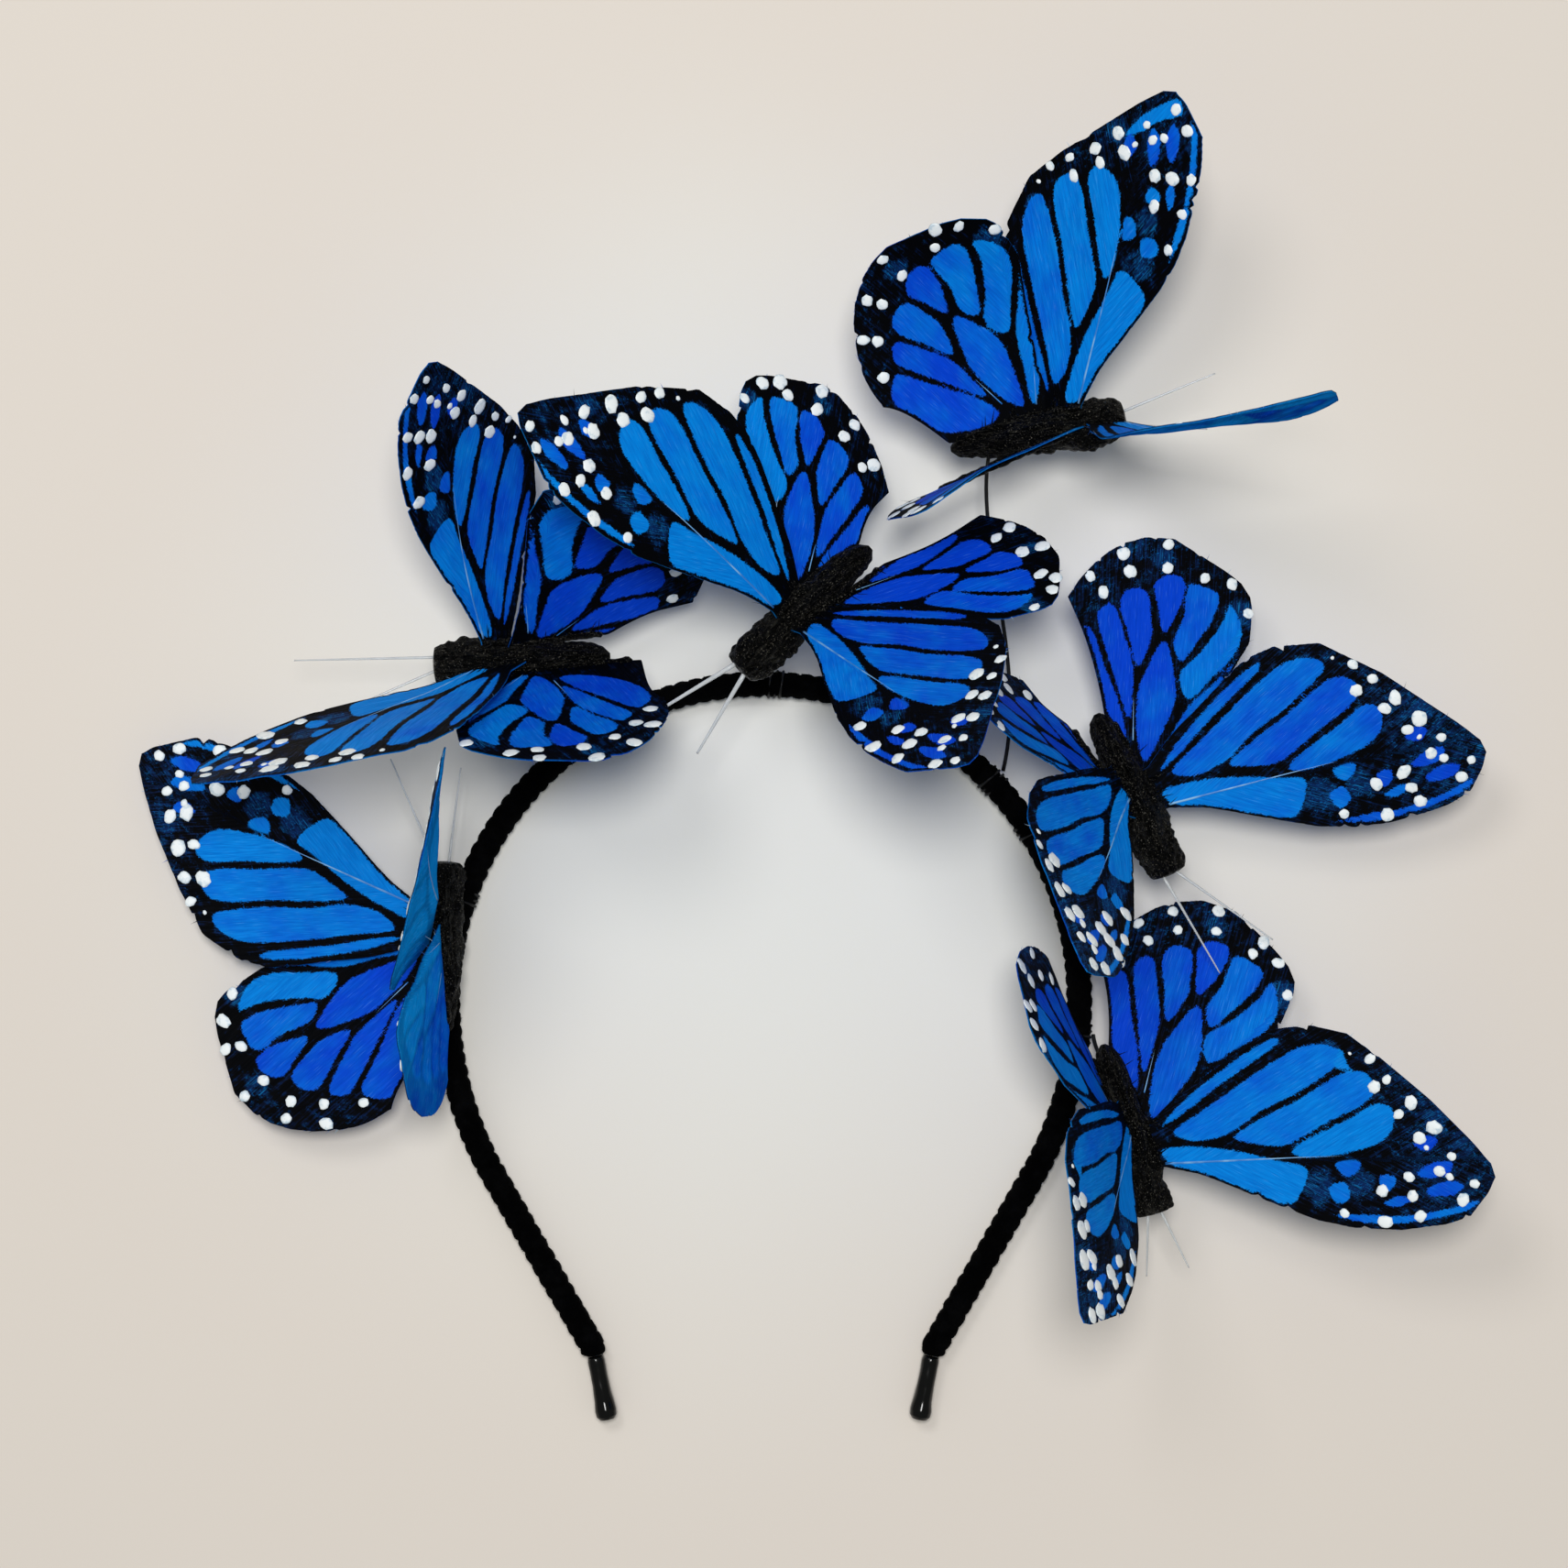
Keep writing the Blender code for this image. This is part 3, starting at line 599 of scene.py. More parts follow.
class Shape:
    """Vertices, faces and vertex values gathered from many small forms into one mesh."""

    def __init__(self):
        self.points = []
        self.faces = []
        self.values = {}
        self.count = 0

    def add(self, points, faces, **values):
        """points is an array of places, faces an array of their indices."""
        points = np.asarray(points, float).reshape(-1, 3)
        self.points.append(points)
        self.faces.extend((np.asarray(faces) + self.count).tolist())
        for key, value in values.items():
            value = np.asarray(value, float)
            if value.ndim == 0:
                value = np.full(len(points), float(value))
            self.values.setdefault(key, []).append(value)
        self.count += len(points)

    def build(self, name, look, slot, sharp=180.0):
        mesh = bpy.data.meshes.new(name)
        mesh.from_pydata(np.concatenate(self.points).tolist(), [], self.faces)
        for key, parts in self.values.items():
            value = np.concatenate(parts)
            if value.ndim == 2:
                attribute = mesh.attributes.new(key, "FLOAT_VECTOR", "POINT")
                attribute.data.foreach_set("vector", value.astype(np.float32).ravel())
            else:
                attribute = mesh.attributes.new(key, "FLOAT", "POINT")
                attribute.data.foreach_set("value", value.astype(np.float32))
        mesh.materials.append(look)
        mesh.shade_smooth()
        if sharp < 180.0:
            mesh.set_sharp_from_angle(angle=radians(sharp))
        item = bpy.data.objects.new(name, mesh)
        bpy.context.scene.collection.objects.link(item)
        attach(item, "root")
        return item


def grid_quads(rows, columns, closed=False):
    """Faces of a grid of points; a closed one joins each row's last point to its first."""
    index = np.arange(rows * columns).reshape(rows, columns)
    if closed:
        index = np.concatenate([index, index[:, :1]], axis=1)
    corners = (index[:-1, :-1], index[:-1, 1:], index[1:, 1:], index[1:, :-1])
    return np.stack(corners, axis=-1).reshape(-1, 4)


def ring_faces(rows, sides):
    """Faces of a closed tube of rings, with a cap of triangles at both ends."""
    first = rows * sides
    faces = grid_quads(rows, sides, closed=True).tolist()
    last = (rows - 1) * sides
    for side in range(sides):
        following = (side + 1) % sides
        faces.append((first, following, side))
        faces.append((first + 1, last + side, last + following))
    return faces


def with_ends(rings):
    """All points of a form's rings, then the middle of each end ring, for its cap."""
    ends = np.stack([rings[0].mean(axis=0), rings[-1].mean(axis=0)])
    return np.concatenate([rings.reshape(-1, 3), ends])


def add_rings(shape, rings, **values):
    """Adds a closed form of rings, each an array of places, capped at its two ends."""
    rings = np.asarray(rings)
    rows, sides = rings.shape[:2]
    offset = shape.count
    faces = ring_faces(rows, sides)
    shape.add(with_ends(rings), np.zeros((0, 4), int), **values)
    shape.faces.extend([tuple(corner + offset for corner in face) for face in faces])


def add_tube(shape, points, radii, sides=8, **values):
    """Adds a round tube along points, with a radius at each."""
    add_rings(shape, tube_rings(points, radii, sides), **values)


def tube_rings(points, radii, sides):
    """The rings of a round tube along points."""
    points = [Vector(point) for point in points]
    rings = []
    side = None
    for index, point in enumerate(points):
        ahead = points[min(index + 1, len(points) - 1)] - points[max(index - 1, 0)]
        ahead.normalize()
        if side is None:
            side = ahead.orthogonal().normalized()
        side = (side - ahead * side.dot(ahead)).normalized()
        up = ahead.cross(side)
        ring = []
        for step in range(sides):
            turn = 2 * math.pi * step / sides
            arm = side * math.cos(turn) + up * math.sin(turn)
            ring.append(point + arm * radii[index])
        rings.append(ring)
    return np.array(rings)


def round_point(angle, radius, height=0.0):
    """A point round the crown's centre, with the angle in degrees from +X."""
    turn = radians(angle)
    return Vector((radius * math.cos(turn), radius * math.sin(turn), height))


def body_radius(ahead):
    """The body's radius at a distance ahead of its middle."""
    along = min(max(0.5 - ahead / BODY_LENGTH, 0.0), 1.0)
    for (near, wide), (far, narrow) in zip(BODY_PROFILE[1:], BODY_PROFILE[2:]):
        if along <= far:
            break
    return BODY_RADIUS * (wide + (narrow - wide) * (along - near) / (far - near))


def hermite(start, end, slope_start, slope_end, t):
    """A cubic from start to end, with a slope at each, at a share t of the way."""
    return (
        start * (2 * t**3 - 3 * t**2 + 1) + slope_start * (t**3 - 2 * t**2 + t)
        + end * (3 * t**2 - 2 * t**3) + slope_end * (t**3 - t**2)
    )


def edge_at(outline, share, column):
    """An edge's place at a span share, along a smooth curve through the outline's rows."""
    last = len(outline) - 1
    row = 0
    while row < last - 1 and outline[row + 1][0] < share:
        row += 1
    low, high = outline[row], outline[row + 1]
    before, after = outline[max(row - 1, 0)], outline[min(row + 2, last)]
    width = high[0] - low[0]
    t = (share - low[0]) / width
    slope_low = (high[column] - before[column]) / (high[0] - before[0]) * width
    slope_high = (after[column] - low[column]) / (after[0] - low[0]) * width
    return hermite(low[column], high[column], slope_low, slope_high, t)


def smooth_loop(points, steps=5):
    """A closed smooth curve through a few points, as an array of closely spaced ones."""
    points = np.array(points, float)
    before, after = np.roll(points, 1, axis=0), np.roll(points, -1, axis=0)
    beyond = np.roll(points, -2, axis=0)
    pieces = []
    for step in range(steps):
        slopes = (after - before) / 2, (beyond - points) / 2
        pieces.append(hermite(points, after, *slopes, step / steps))
    return np.stack(pieces, axis=1).reshape(-1, 2)


def inside_by(x, y, loop):
    """How far points lie inside a closed outline, negative outside it."""
    start, end = loop, np.roll(loop, -1, axis=0)
    edge = end - start
    dx, dy = x[:, None] - start[None, :, 0], y[:, None] - start[None, :, 1]
    length = np.maximum((edge**2).sum(axis=1), 1e-12)
    t = np.clip((dx * edge[:, 0] + dy * edge[:, 1]) / length, 0, 1)
    away = np.sqrt(((dx - t * edge[:, 0])**2 + (dy - t * edge[:, 1])**2).min(axis=1))
    crosses = (start[None, :, 1] > y[:, None]) != (end[None, :, 1] > y[:, None])
    height = np.where(edge[:, 1] == 0, 1e-12, edge[:, 1])
    at = start[None, :, 0] + dy * edge[:, 0] / height
    inner = (crosses & (x[:, None] < at)).sum(axis=1) % 2 == 1
    return np.where(inner, away, -away)


class Wing:
    """One wing: its flat outline, and where each flat point lies on the headband."""

    def __init__(self, name, label):
        self.name = name
        hand, self.kind = label.split("_")
        self.side = 1 if hand == "left" else -1
        self.lighter = SHADE_SHIFT[name][hand]
        self.setting = WINGS[name][label]
        fore = self.kind == "fore"
        self.outline = FORE_OUTLINE if fore else HIND_OUTLINE
        self.span = FORE_SPAN if fore else HIND_SPAN
        self.seed = list(PLACES).index(name) * 4 + list(WINGS[name]).index(label)
        self.reach = self.span * self.setting["span"]
        self.chord = self.span * self.setting["chord"]
        self.curl = radians(self.setting["curl"]) / self.reach
        self.sweep = radians(self.setting["sweep"])
        self.flat = math.cos(radians(self.setting["twist"]))
        self.upright = self.setting["lift"] > UPRIGHT_LIFT
        wobble = random.Random(300 + self.seed)
        self.plain_back = [self.edges(share)[0] for share in EDGE_TABLE]
        self.plain_front = [self.edges(share)[1] for share in EDGE_TABLE]
        self.back = self.cut_edge(0, wobble)
        self.front = self.cut_edge(1, wobble)
        lift = radians(self.setting["lift"])
        tilt = Matrix.Rotation(self.side * lift, 3, "X")
        tilt = tilt @ Matrix.Rotation(-self.side * self.sweep, 3, "Z")
        tilt = tilt @ Matrix.Rotation(-radians(self.setting["twist"]), 3, "Y")
        layer = WING_LAYER if fore else -WING_LAYER
        root = FORE_ROOT if fore else HIND_ROOT
        seat = root + self.setting["shift"] * BODY_LENGTH
        widest = max(body_radius(seat + offset) for offset in (-ROOT_HALF, 0.0, ROOT_HALF))
        distance = widest + CLEARANCE + self.inset()
        across = distance * math.cos(lift) - layer * math.sin(lift)
        above = distance * math.sin(lift) + layer * math.cos(lift)
        heading = heading_turn(name)
        location = heading @ Vector((seat, self.side * across, above))
        self.seat_ahead, self.distance = seat, distance
        self.turn = np.array(heading @ tilt)
        self.seat = np.array(butterfly_centre(name) + location)

    def edges(self, share):
        """Trailing and leading edges at a span share, before the wing is trimmed."""
        ahead = edge_at(self.outline, share, 1) * self.chord
        ahead += self.reach * share * math.tan(radians(self.setting.get("fan", 0)))
        return edge_at(self.outline, share, 2) * self.chord, ahead

    def inset(self):
        """How far the trimmed root reaches towards the body once the wing is swept."""
        lowest = 0.0
        for step in range(OUTLINE_ROWS):
            share = math.sin(radians(90) * step / (OUTLINE_ROWS - 1))
            out = self.reach * share
            behind, ahead = self.edges(share)
            limit = out / (math.tan(abs(self.sweep)) * self.flat) + self.span * TRIM_SLACK
            if self.sweep > 0:
                ahead = min(ahead, limit)
            else:
                behind = max(behind, -limit)
            for x in (behind, (behind + ahead) / 2, ahead):
                turned = out * math.cos(self.sweep) - x * self.flat * math.sin(self.sweep)
                lowest = min(lowest, turned)
        return -lowest

    def cut_edge(self, column, wobble):
        """One edge as scissors leave it: straight between a few cuts, with frays and notches."""
        knots = [CUT_FROM]
        while knots[-1] < 0.9:
            knots.append(knots[-1] + wobble.uniform(0.07, 0.15))
        knots[-1] = 1.0
        places = [self.edges(share)[column] for share in EDGE_TABLE]
        corners = [self.edges(share)[column] for share in knots]
        straight = np.interp(EDGE_TABLE, knots, corners)
        edge = np.where(EDGE_TABLE < CUT_FROM, places, straight)
        inward = 1 if column == 0 else -1
        if column == (0 if self.kind == "fore" else 1):
            edge -= inward * WEB * np.clip(1 - EDGE_TABLE / WEB_SHARE, 0, 1)
        for index, share in enumerate(EDGE_TABLE):
            fray = noise.noise(Vector((share * 45, self.seed, column * 9.0)))
            edge[index] += inward * RAGGED * abs(fray)
        for _ in range(NOTCHES):
            centre, half = wobble.uniform(0.2, 0.95), wobble.uniform(0.008, 0.016)
            depth = wobble.uniform(0.3, 1.0) * MM
            edge += inward * depth * np.clip(1 - np.abs(EDGE_TABLE - centre) / half, 0, 1)
        return edge

    def sides(self, out):
        """The cut trailing and leading edges at distances outwards, rounded off at the tip."""
        share = np.clip(out / self.reach, 0, 1)
        behind = np.interp(share, EDGE_TABLE, self.back)
        ahead = np.interp(share, EDGE_TABLE, self.front)
        narrowed = (ahead - behind) * 0.2 * (np.maximum(share - 1 + ROUND_TIP, 0) / ROUND_TIP)**2
        return behind + narrowed, ahead - narrowed

    def root_line(self, x):
        """How far out the feather starts at places along its chord.

        Beside the body it runs in until it is sunk in the paint. Behind the body's tail it
        comes back to the line on which the wing is trimmed.
        """
        forward = x * math.copysign(1.0, self.sweep) - self.span * TRIM_SLACK
        trimmed = np.maximum(forward, 0) * math.tan(abs(self.sweep)) * self.flat
        along = self.seat_ahead + x * self.flat * math.cos(self.sweep)
        places, widths = zip(*BODY_PROFILE[1:])
        beside = np.zeros(np.shape(x))
        for _ in range(2):
            at = 0.5 - (along + beside * math.sin(self.sweep)) / BODY_LENGTH
            wide = np.interp(at, places, widths)
            sunk = np.maximum(wide, TAIL_WIDTH) * BODY_RADIUS - ROOT_SINK
            gap = self.distance - x * self.flat * math.sin(self.sweep) - sunk
            beside = -gap / math.cos(self.sweep)
        tail = -BODY_LENGTH / 2 + MM
        corner = self.seat_ahead + self.back[0] * self.flat * math.cos(self.sweep)
        if corner >= tail:
            return beside
        share = np.clip((along - corner) / (tail - corner), 0, 1)**1.8
        return trimmed + (beside - trimmed) * share

    def settle(self, x, y, radius):
        """Moves a round mark inside the cut outline, or returns None if it has no room."""
        behind, ahead = self.sides(y)
        if ahead - behind < 2.4 * radius or y - self.root_line(x) < 1.5 * radius:
            return None
        moved = min(max(x, behind + 1.05 * radius), ahead - 1.05 * radius)
        if abs(moved - x) > 2.5 * radius:
            return None
        return moved, min(y, self.reach - 1.3 * radius)

    def surface(self, x, y, up):
        """Places of flat points x ahead and y outwards, raised by up off the mid layer."""
        x, y, up = np.broadcast_arrays(x, y, up)
        out, rise = y, up
        if self.curl:
            turn = self.curl * y
            out = np.sin(turn) / self.curl - up * np.sin(turn)
            rise = (1 - np.cos(turn)) / self.curl + up * np.cos(turn)
        local = np.stack([x, self.side * out, rise], axis=-1)
        return local @ self.turn.T + self.seat

    def warp(self, x, y):
        """Gentle waves of the feather, dying out at the root."""
        heights = np.zeros(x.shape)
        for index in np.ndindex(x.shape):
            spot = Vector((x[index] / (16 * MM), y[index] / (22 * MM), self.seed * 3.7))
            ripple = Vector((x[index] / (4 * MM), y[index] / (30 * MM), self.seed * 1.3))
            heights[index] = noise.noise(spot) + 0.2 * noise.noise(ripple)
        size = WARP * (UPRIGHT_WAVES if self.upright else 1.0)
        return heights * size * np.clip(y / (12 * MM), 0, 1)

    def widened(self, y):
        """The uncut trailing edge at distances outwards, and how much the fan widens the wing."""
        share = np.clip(y / self.reach, 0, 1)
        behind = np.interp(share, EDGE_TABLE, self.plain_back)
        wide = np.interp(share, EDGE_TABLE, self.plain_front) - behind
        plain = wide - self.reach * share * math.tan(radians(self.setting.get("fan", 0)))
        return behind, wide / plain

    def chart(self, x, y):
        """Flat points in the painted chart's millimetres."""
        behind, wider = self.widened(y)
        x = behind + (x - behind) / wider
        return x / self.setting["chord"] / MM, y / self.setting["span"] / MM

    def from_chart(self, x, y):
        x, y = x * self.setting["chord"] * MM, y * self.setting["span"] * MM
        behind, wider = self.widened(y)
        return behind + (x - behind) * wider, y


def heading_turn(name):
    return Matrix.Rotation(radians(PLACES[name]["heading"]), 3, "Z")


def butterfly_centre(name):
    place = PLACES[name]
    radius = CROWN_RADIUS + place["reach"] * STEM_REACH
    height = BAND_HEIGHT + place["rise"] * STEM_RISE
    return CROWN + round_point(place["angle"], radius, height)


def wing_grid(wing):
    """Flat points of a wing in rows outwards and columns forwards, from its root line out."""
    rows, columns = FORE_GRID if wing.kind == "fore" else HIND_GRID
    x, y = np.zeros((rows, columns)), np.zeros((rows, columns))
    across = np.linspace(0, 1, columns)
    blend = wing.reach * ROOT_REACH
    for row in range(rows):
        t = row / (rows - 1)
        out = wing.reach * (0.75 * t + 0.25 * math.sin(radians(90) * t))
        y[row] = out
        for _ in range(6):
            behind, ahead = wing.sides(y[row])
            x[row] = behind + (ahead - behind) * across
            y[row] = out + wing.root_line(x[row]) * max(1 - out / blend, 0)
    return x, y


def paint(wing, x, y):
    """The painted values at flat points, by the names that the feather's look reads."""
    fore = wing.kind == "fore"
    rows, columns = x.shape
    a, b = wing.chart(x, y)
    border = np.concatenate([
        np.stack([a[:, 0], b[:, 0]], 1), np.stack([a[-1], b[-1]], 1),
        np.stack([a[::-1, -1], b[::-1, -1]], 1), np.stack([a[0, ::-1], b[0, ::-1]], 1),
    ])
    a, b = a.ravel(), b.ravel()
    wobble = random.Random(wing.seed)
    lighter = wing.lighter - (0.0 if fore else HIND_DEEPER)
    cell = np.full(a.shape, -9.0)
    shade = np.zeros(a.shape)
    for entry in FORE_CELLS if fore else HIND_CELLS:
        if entry.get("only", wing.name) != wing.name:
            continue
        moved = np.array(entry["loop"]) + np.array([wobble.uniform(-0.25, 0.25) for _ in "xy"])
        depth = inside_by(a, b, smooth_loop(moved))
        nearer = depth > cell
        shade[nearer] = entry["shade"] + lighter + wobble.uniform(-0.15, 0.15)
        cell = np.maximum(cell, depth)
    edge = inside_by(a, b, border)
    cell = np.minimum(cell + GROW[wing.kind], edge - MARGIN)
    from_root = (y - wing.root_line(x)).ravel() / MM
    cell = np.minimum(cell, from_root - ROOT_BLACK)
    shafts = FORE_SHAFTS if fore else HIND_SHAFTS
    flow = barb_flow(a, b, np.array(shafts[0], float))
    speckle = speckles(a, b, fore) + NAVY[wing.name]
    flow = np.concatenate([flow, np.full((len(a), 1), wing.seed * 5.3)], axis=1)
    return dict(cell=cell, shade=shade, speckle=speckle, flow=flow)


def barb_flow(a, b, shaft):
    """Across and along the barbs that leave the shaft on both sides, in millimetres."""
    start, end = shaft[0], shaft[-1]
    ahead = (end - start) / np.linalg.norm(end - start)
    along = (a - start[0]) * ahead[0] + (b - start[1]) * ahead[1]
    aside = -(a - start[0]) * ahead[1] + (b - start[1]) * ahead[0]
    slant = 1 / math.tan(radians(BARB_ANGLE))
    across = (along - np.abs(aside) * slant) * math.sin(radians(BARB_ANGLE))
    length = along * math.cos(radians(BARB_ANGLE)) + np.abs(aside)
    return np.stack([across + np.where(aside > 0, 40.0, 0.0), length], axis=1)


def speckles(a, b, fore):
    """How freckled the black is: two patches on a fore wing, and lightly towards the rim."""
    if fore:
        spots = [(15.5, 28.5, 4.2), (17, 36.5, 3.6), (-8, 38, 3.0), (10, 54, 3.5)]
        base = np.clip((b - 40) / 25, 0, 0.45)
    else:
        spots = [(-14, 33, 3.5), (-30, 26, 3.0)]
        base = np.clip((-a - 22) / 40, 0, 0.35)
    value = base
    for x, y, radius in spots:
        near = 1 - np.hypot(a - x, b - y) / radius
        value = np.maximum(value, np.clip(near * 2, 0, 1))
    return value


def make_wing(name, label):
    """One feather wing, painted on its upper side."""
    wing = Wing(name, label)
    x, y = wing_grid(wing)
    painted = {key: np.concatenate([value, value]) for key, value in paint(wing, x, y).items()}
    bow = wing.warp(x, y)
    half = FEATHER_THICKNESS / 2
    upper = wing.surface(x, y, bow + half)
    lower = wing.surface(x, y, bow - half)
    rows, columns = x.shape
    count = rows * columns
    top = grid_quads(rows, columns)
    index = np.arange(count).reshape(rows, columns)
    loop = np.concatenate([index[0, :-1], index[:-1, -1], index[-1, :0:-1], index[:0:-1, 0]])
    following = np.roll(loop, -1)
    rim = np.stack([loop, loop + count, following + count, following], axis=1)
    faces = np.concatenate([top, top[:, ::-1] + count, rim])
    if wing.side < 0:
        faces = faces[:, ::-1]
    shape = Shape()
    points = np.concatenate([upper.reshape(-1, 3), lower.reshape(-1, 3)])
    shape.add(points, faces, **painted, under=np.repeat([0.0, 1.0], count))
    label = name + "_" + label
    item = shape.build(label + "_feather", FEATHER, "feather", sharp=50.0)
    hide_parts(label)
    return wing


def add_dots(shape, wing):
    """Raised white paint dots, each a low dome with an uneven rim."""
    wobble = random.Random(100 + wing.seed)
    sides = DOT_SIDES
    size = DOT_SIZE[wing.name] * (UPRIGHT_DOTS if wing.upright else 1.0)
    for x, y, radius in FORE_DOTS if wing.kind == "fore" else HIND_DOTS:
        x += wobble.uniform(-0.5, 0.5)
        y += wobble.uniform(-0.5, 0.5)
        radius *= wobble.uniform(0.82, 1.15) * size
        stretch = wobble.uniform(0.88, 1.15)
        lean = wobble.uniform(0, math.pi)
        uneven = [wobble.uniform(0.88, 1.1) for _ in range(sides)]
        start = wing.from_chart(x, y)
        settled = wing.settle(*start, radius * MM)
        if settled is None:
            continue
        spots, heights, rims = [], [], []
        for share, height in DOT_DOME:
            for step in range(sides):
                turn = 2 * math.pi * step / sides
                r = radius * share * uneven[step] * MM
                along, across = r * math.cos(turn) * stretch, r * math.sin(turn) / stretch
                spots.append((
                    settled[0] + along * math.cos(lean) - across * math.sin(lean),
                    settled[1] + along * math.sin(lean) + across * math.cos(lean),
                ))
                heights.append(height * MM)
                rims.append(share)
        spots = np.array(spots)
        up = wing.warp(spots[:, 0], spots[:, 1]) + FEATHER_THICKNESS / 2 + np.array(heights)
        places = wing.surface(spots[:, 0], spots[:, 1], up).reshape(-1, sides, 3)
        if wing.side > 0:
            places = places[:, ::-1]
        add_rings(shape, places)
        shape.values.setdefault("rim", []).append(np.array(rims + [1.0, 0.0]))


def add_shafts(shape, wing):
    """The feathers' quills, proud of the sheet on both sides."""
    shafts = FORE_SHAFTS if wing.kind == "fore" else HIND_SHAFTS
    for number, shaft in enumerate(shafts):
        points = np.array(shaft, float)
        spots = np.linspace(0, len(points) - 1, SHAFT_STEPS)
        a = np.interp(spots, range(len(points)), points[:, 0])
        b = np.interp(spots, range(len(points)), points[:, 1])
        x, y = wing.from_chart(a, b)
        behind, ahead = wing.sides(y)
        x = np.clip(x, behind + 0.5 * MM, ahead - 0.5 * MM)
        y = np.maximum(y, wing.root_line(x) + 0.3 * MM)
        places = wing.surface(x, y, wing.warp(x, y))
        thick = SHAFT_RADIUS * (1.0 if number == 0 and wing.kind == "fore" else 0.75)
        radii = [thick * (1 - 0.62 * step / (SHAFT_STEPS - 1)) for step in range(SHAFT_STEPS)]
        add_tube(shape, places, radii, sides=8)


def add_loose_barbs(shape, wing):
    """Barbs that have come free, near the root and here and there along the edges."""
    wobble = random.Random(200 + wing.seed)
    for number in range(LOOSE_BARBS):
        near_root = number < ROOT_BARBS
        share = wobble.uniform(0.03, 0.3) if near_root else wobble.uniform(0.3, 0.97)
        out = wing.reach * share
        behind, ahead = wing.sides(out)
        at_back = wobble.random() < 0.5
        x = behind + 0.4 * MM if at_back else ahead - 0.4 * MM
        out = max(out, float(wing.root_line(x)) + 0.5 * MM)
        length = wobble.uniform(1.2, 3.2) * MM if near_root else wobble.uniform(0.7, 1.7) * MM
        aside = (-1 if at_back else 1) * wobble.uniform(0.2, 0.7)
        bend = wobble.uniform(-0.5, 0.5)
        lift = wobble.uniform(-0.3, 0.4)
        forward = wobble.uniform(0.5, 0.9)
        t = np.linspace(0, 1, 6)
        px = x + aside * length * t + bend * 0.3 * length * t**2
        py = out + length * t * forward
        places = wing.surface(px, py, wing.warp(px, py) + lift * length * t**2)
        radius = wobble.uniform(0.05, 0.09) * MM
        radii = [radius * (1.1 - at) for at in t]
        add_tube(shape, places, radii, sides=5, tone=wobble.random())


def add_root_paint(shape, wing):
    """A lumpy bead of black paint that holds the wing's root to the body."""
    wobble = random.Random(400 + wing.seed)
    x = np.linspace(wing.back[0], wing.front[0], BEAD_STEPS)
    along = wing.seat_ahead + x * wing.flat * math.cos(wing.sweep)
    x = x[np.abs(along) < BODY_LENGTH / 2 - 2 * MM]
    y = wing.root_line(x) + 0.2 * MM
    for up in (0.25 * MM, -0.25 * MM):
        places = wing.surface(x, y, np.full(len(x), up))
        radii = []
        for place in places:
            lump = noise.noise(Vector(place / (2.2 * MM)))
            lump += 0.6 * noise.noise(Vector(place / (0.9 * MM)))
            radii.append((BEAD_RADIUS + BEAD_LUMP * lump) * MM)
        radii[0] = radii[-1] = 0.15 * MM
        rings = tube_rings(places, radii, BEAD_SIDES)
        add_rings(shape, rings, along=with_ends(rings) / MM)
    for _ in range(BEAD_STRANDS):
        start = wobble.randrange(len(x))
        t = np.linspace(0, 1, 6)
        length = wobble.uniform(1.5, 4.0) * MM
        px = x[start] + wobble.uniform(-0.35, 0.35) * length * t
        py = y[start] + length * t
        up = FEATHER_THICKNESS * 0.5 + wobble.uniform(0.0, 0.12) * length * t**2
        radius = wobble.uniform(0.1, 0.2) * MM
        places = wing.surface(px, py, wing.warp(px, py) + up)
        rings = tube_rings(places, [radius * (1.1 - at) for at in t], 6)
        add_rings(shape, rings, along=with_ends(rings) / MM)


def make_butterfly(name):
    """Four wings with their dots, quills, loose barbs and root paint, a body and wires."""
    dots, shafts, barbs, beads = Shape(), Shape(), Shape(), Shape()
    for label in WINGS[name]:
        wing = make_wing(name, label)
        add_dots(dots, wing)
        add_shafts(shafts, wing)
        add_loose_barbs(barbs, wing)
        add_root_paint(beads, wing)
    beads.build(name + "_root_paint", PAINT, "body_paint")
    dots.build(name + "_dots", DOTS, "feather")
    shafts.build(name + "_quills", QUILL, "feather")
    barbs.build(name + "_loose_barbs", BARBS, "feather")
    make_body(name)
    make_antennae(name)
    make_stem(name)


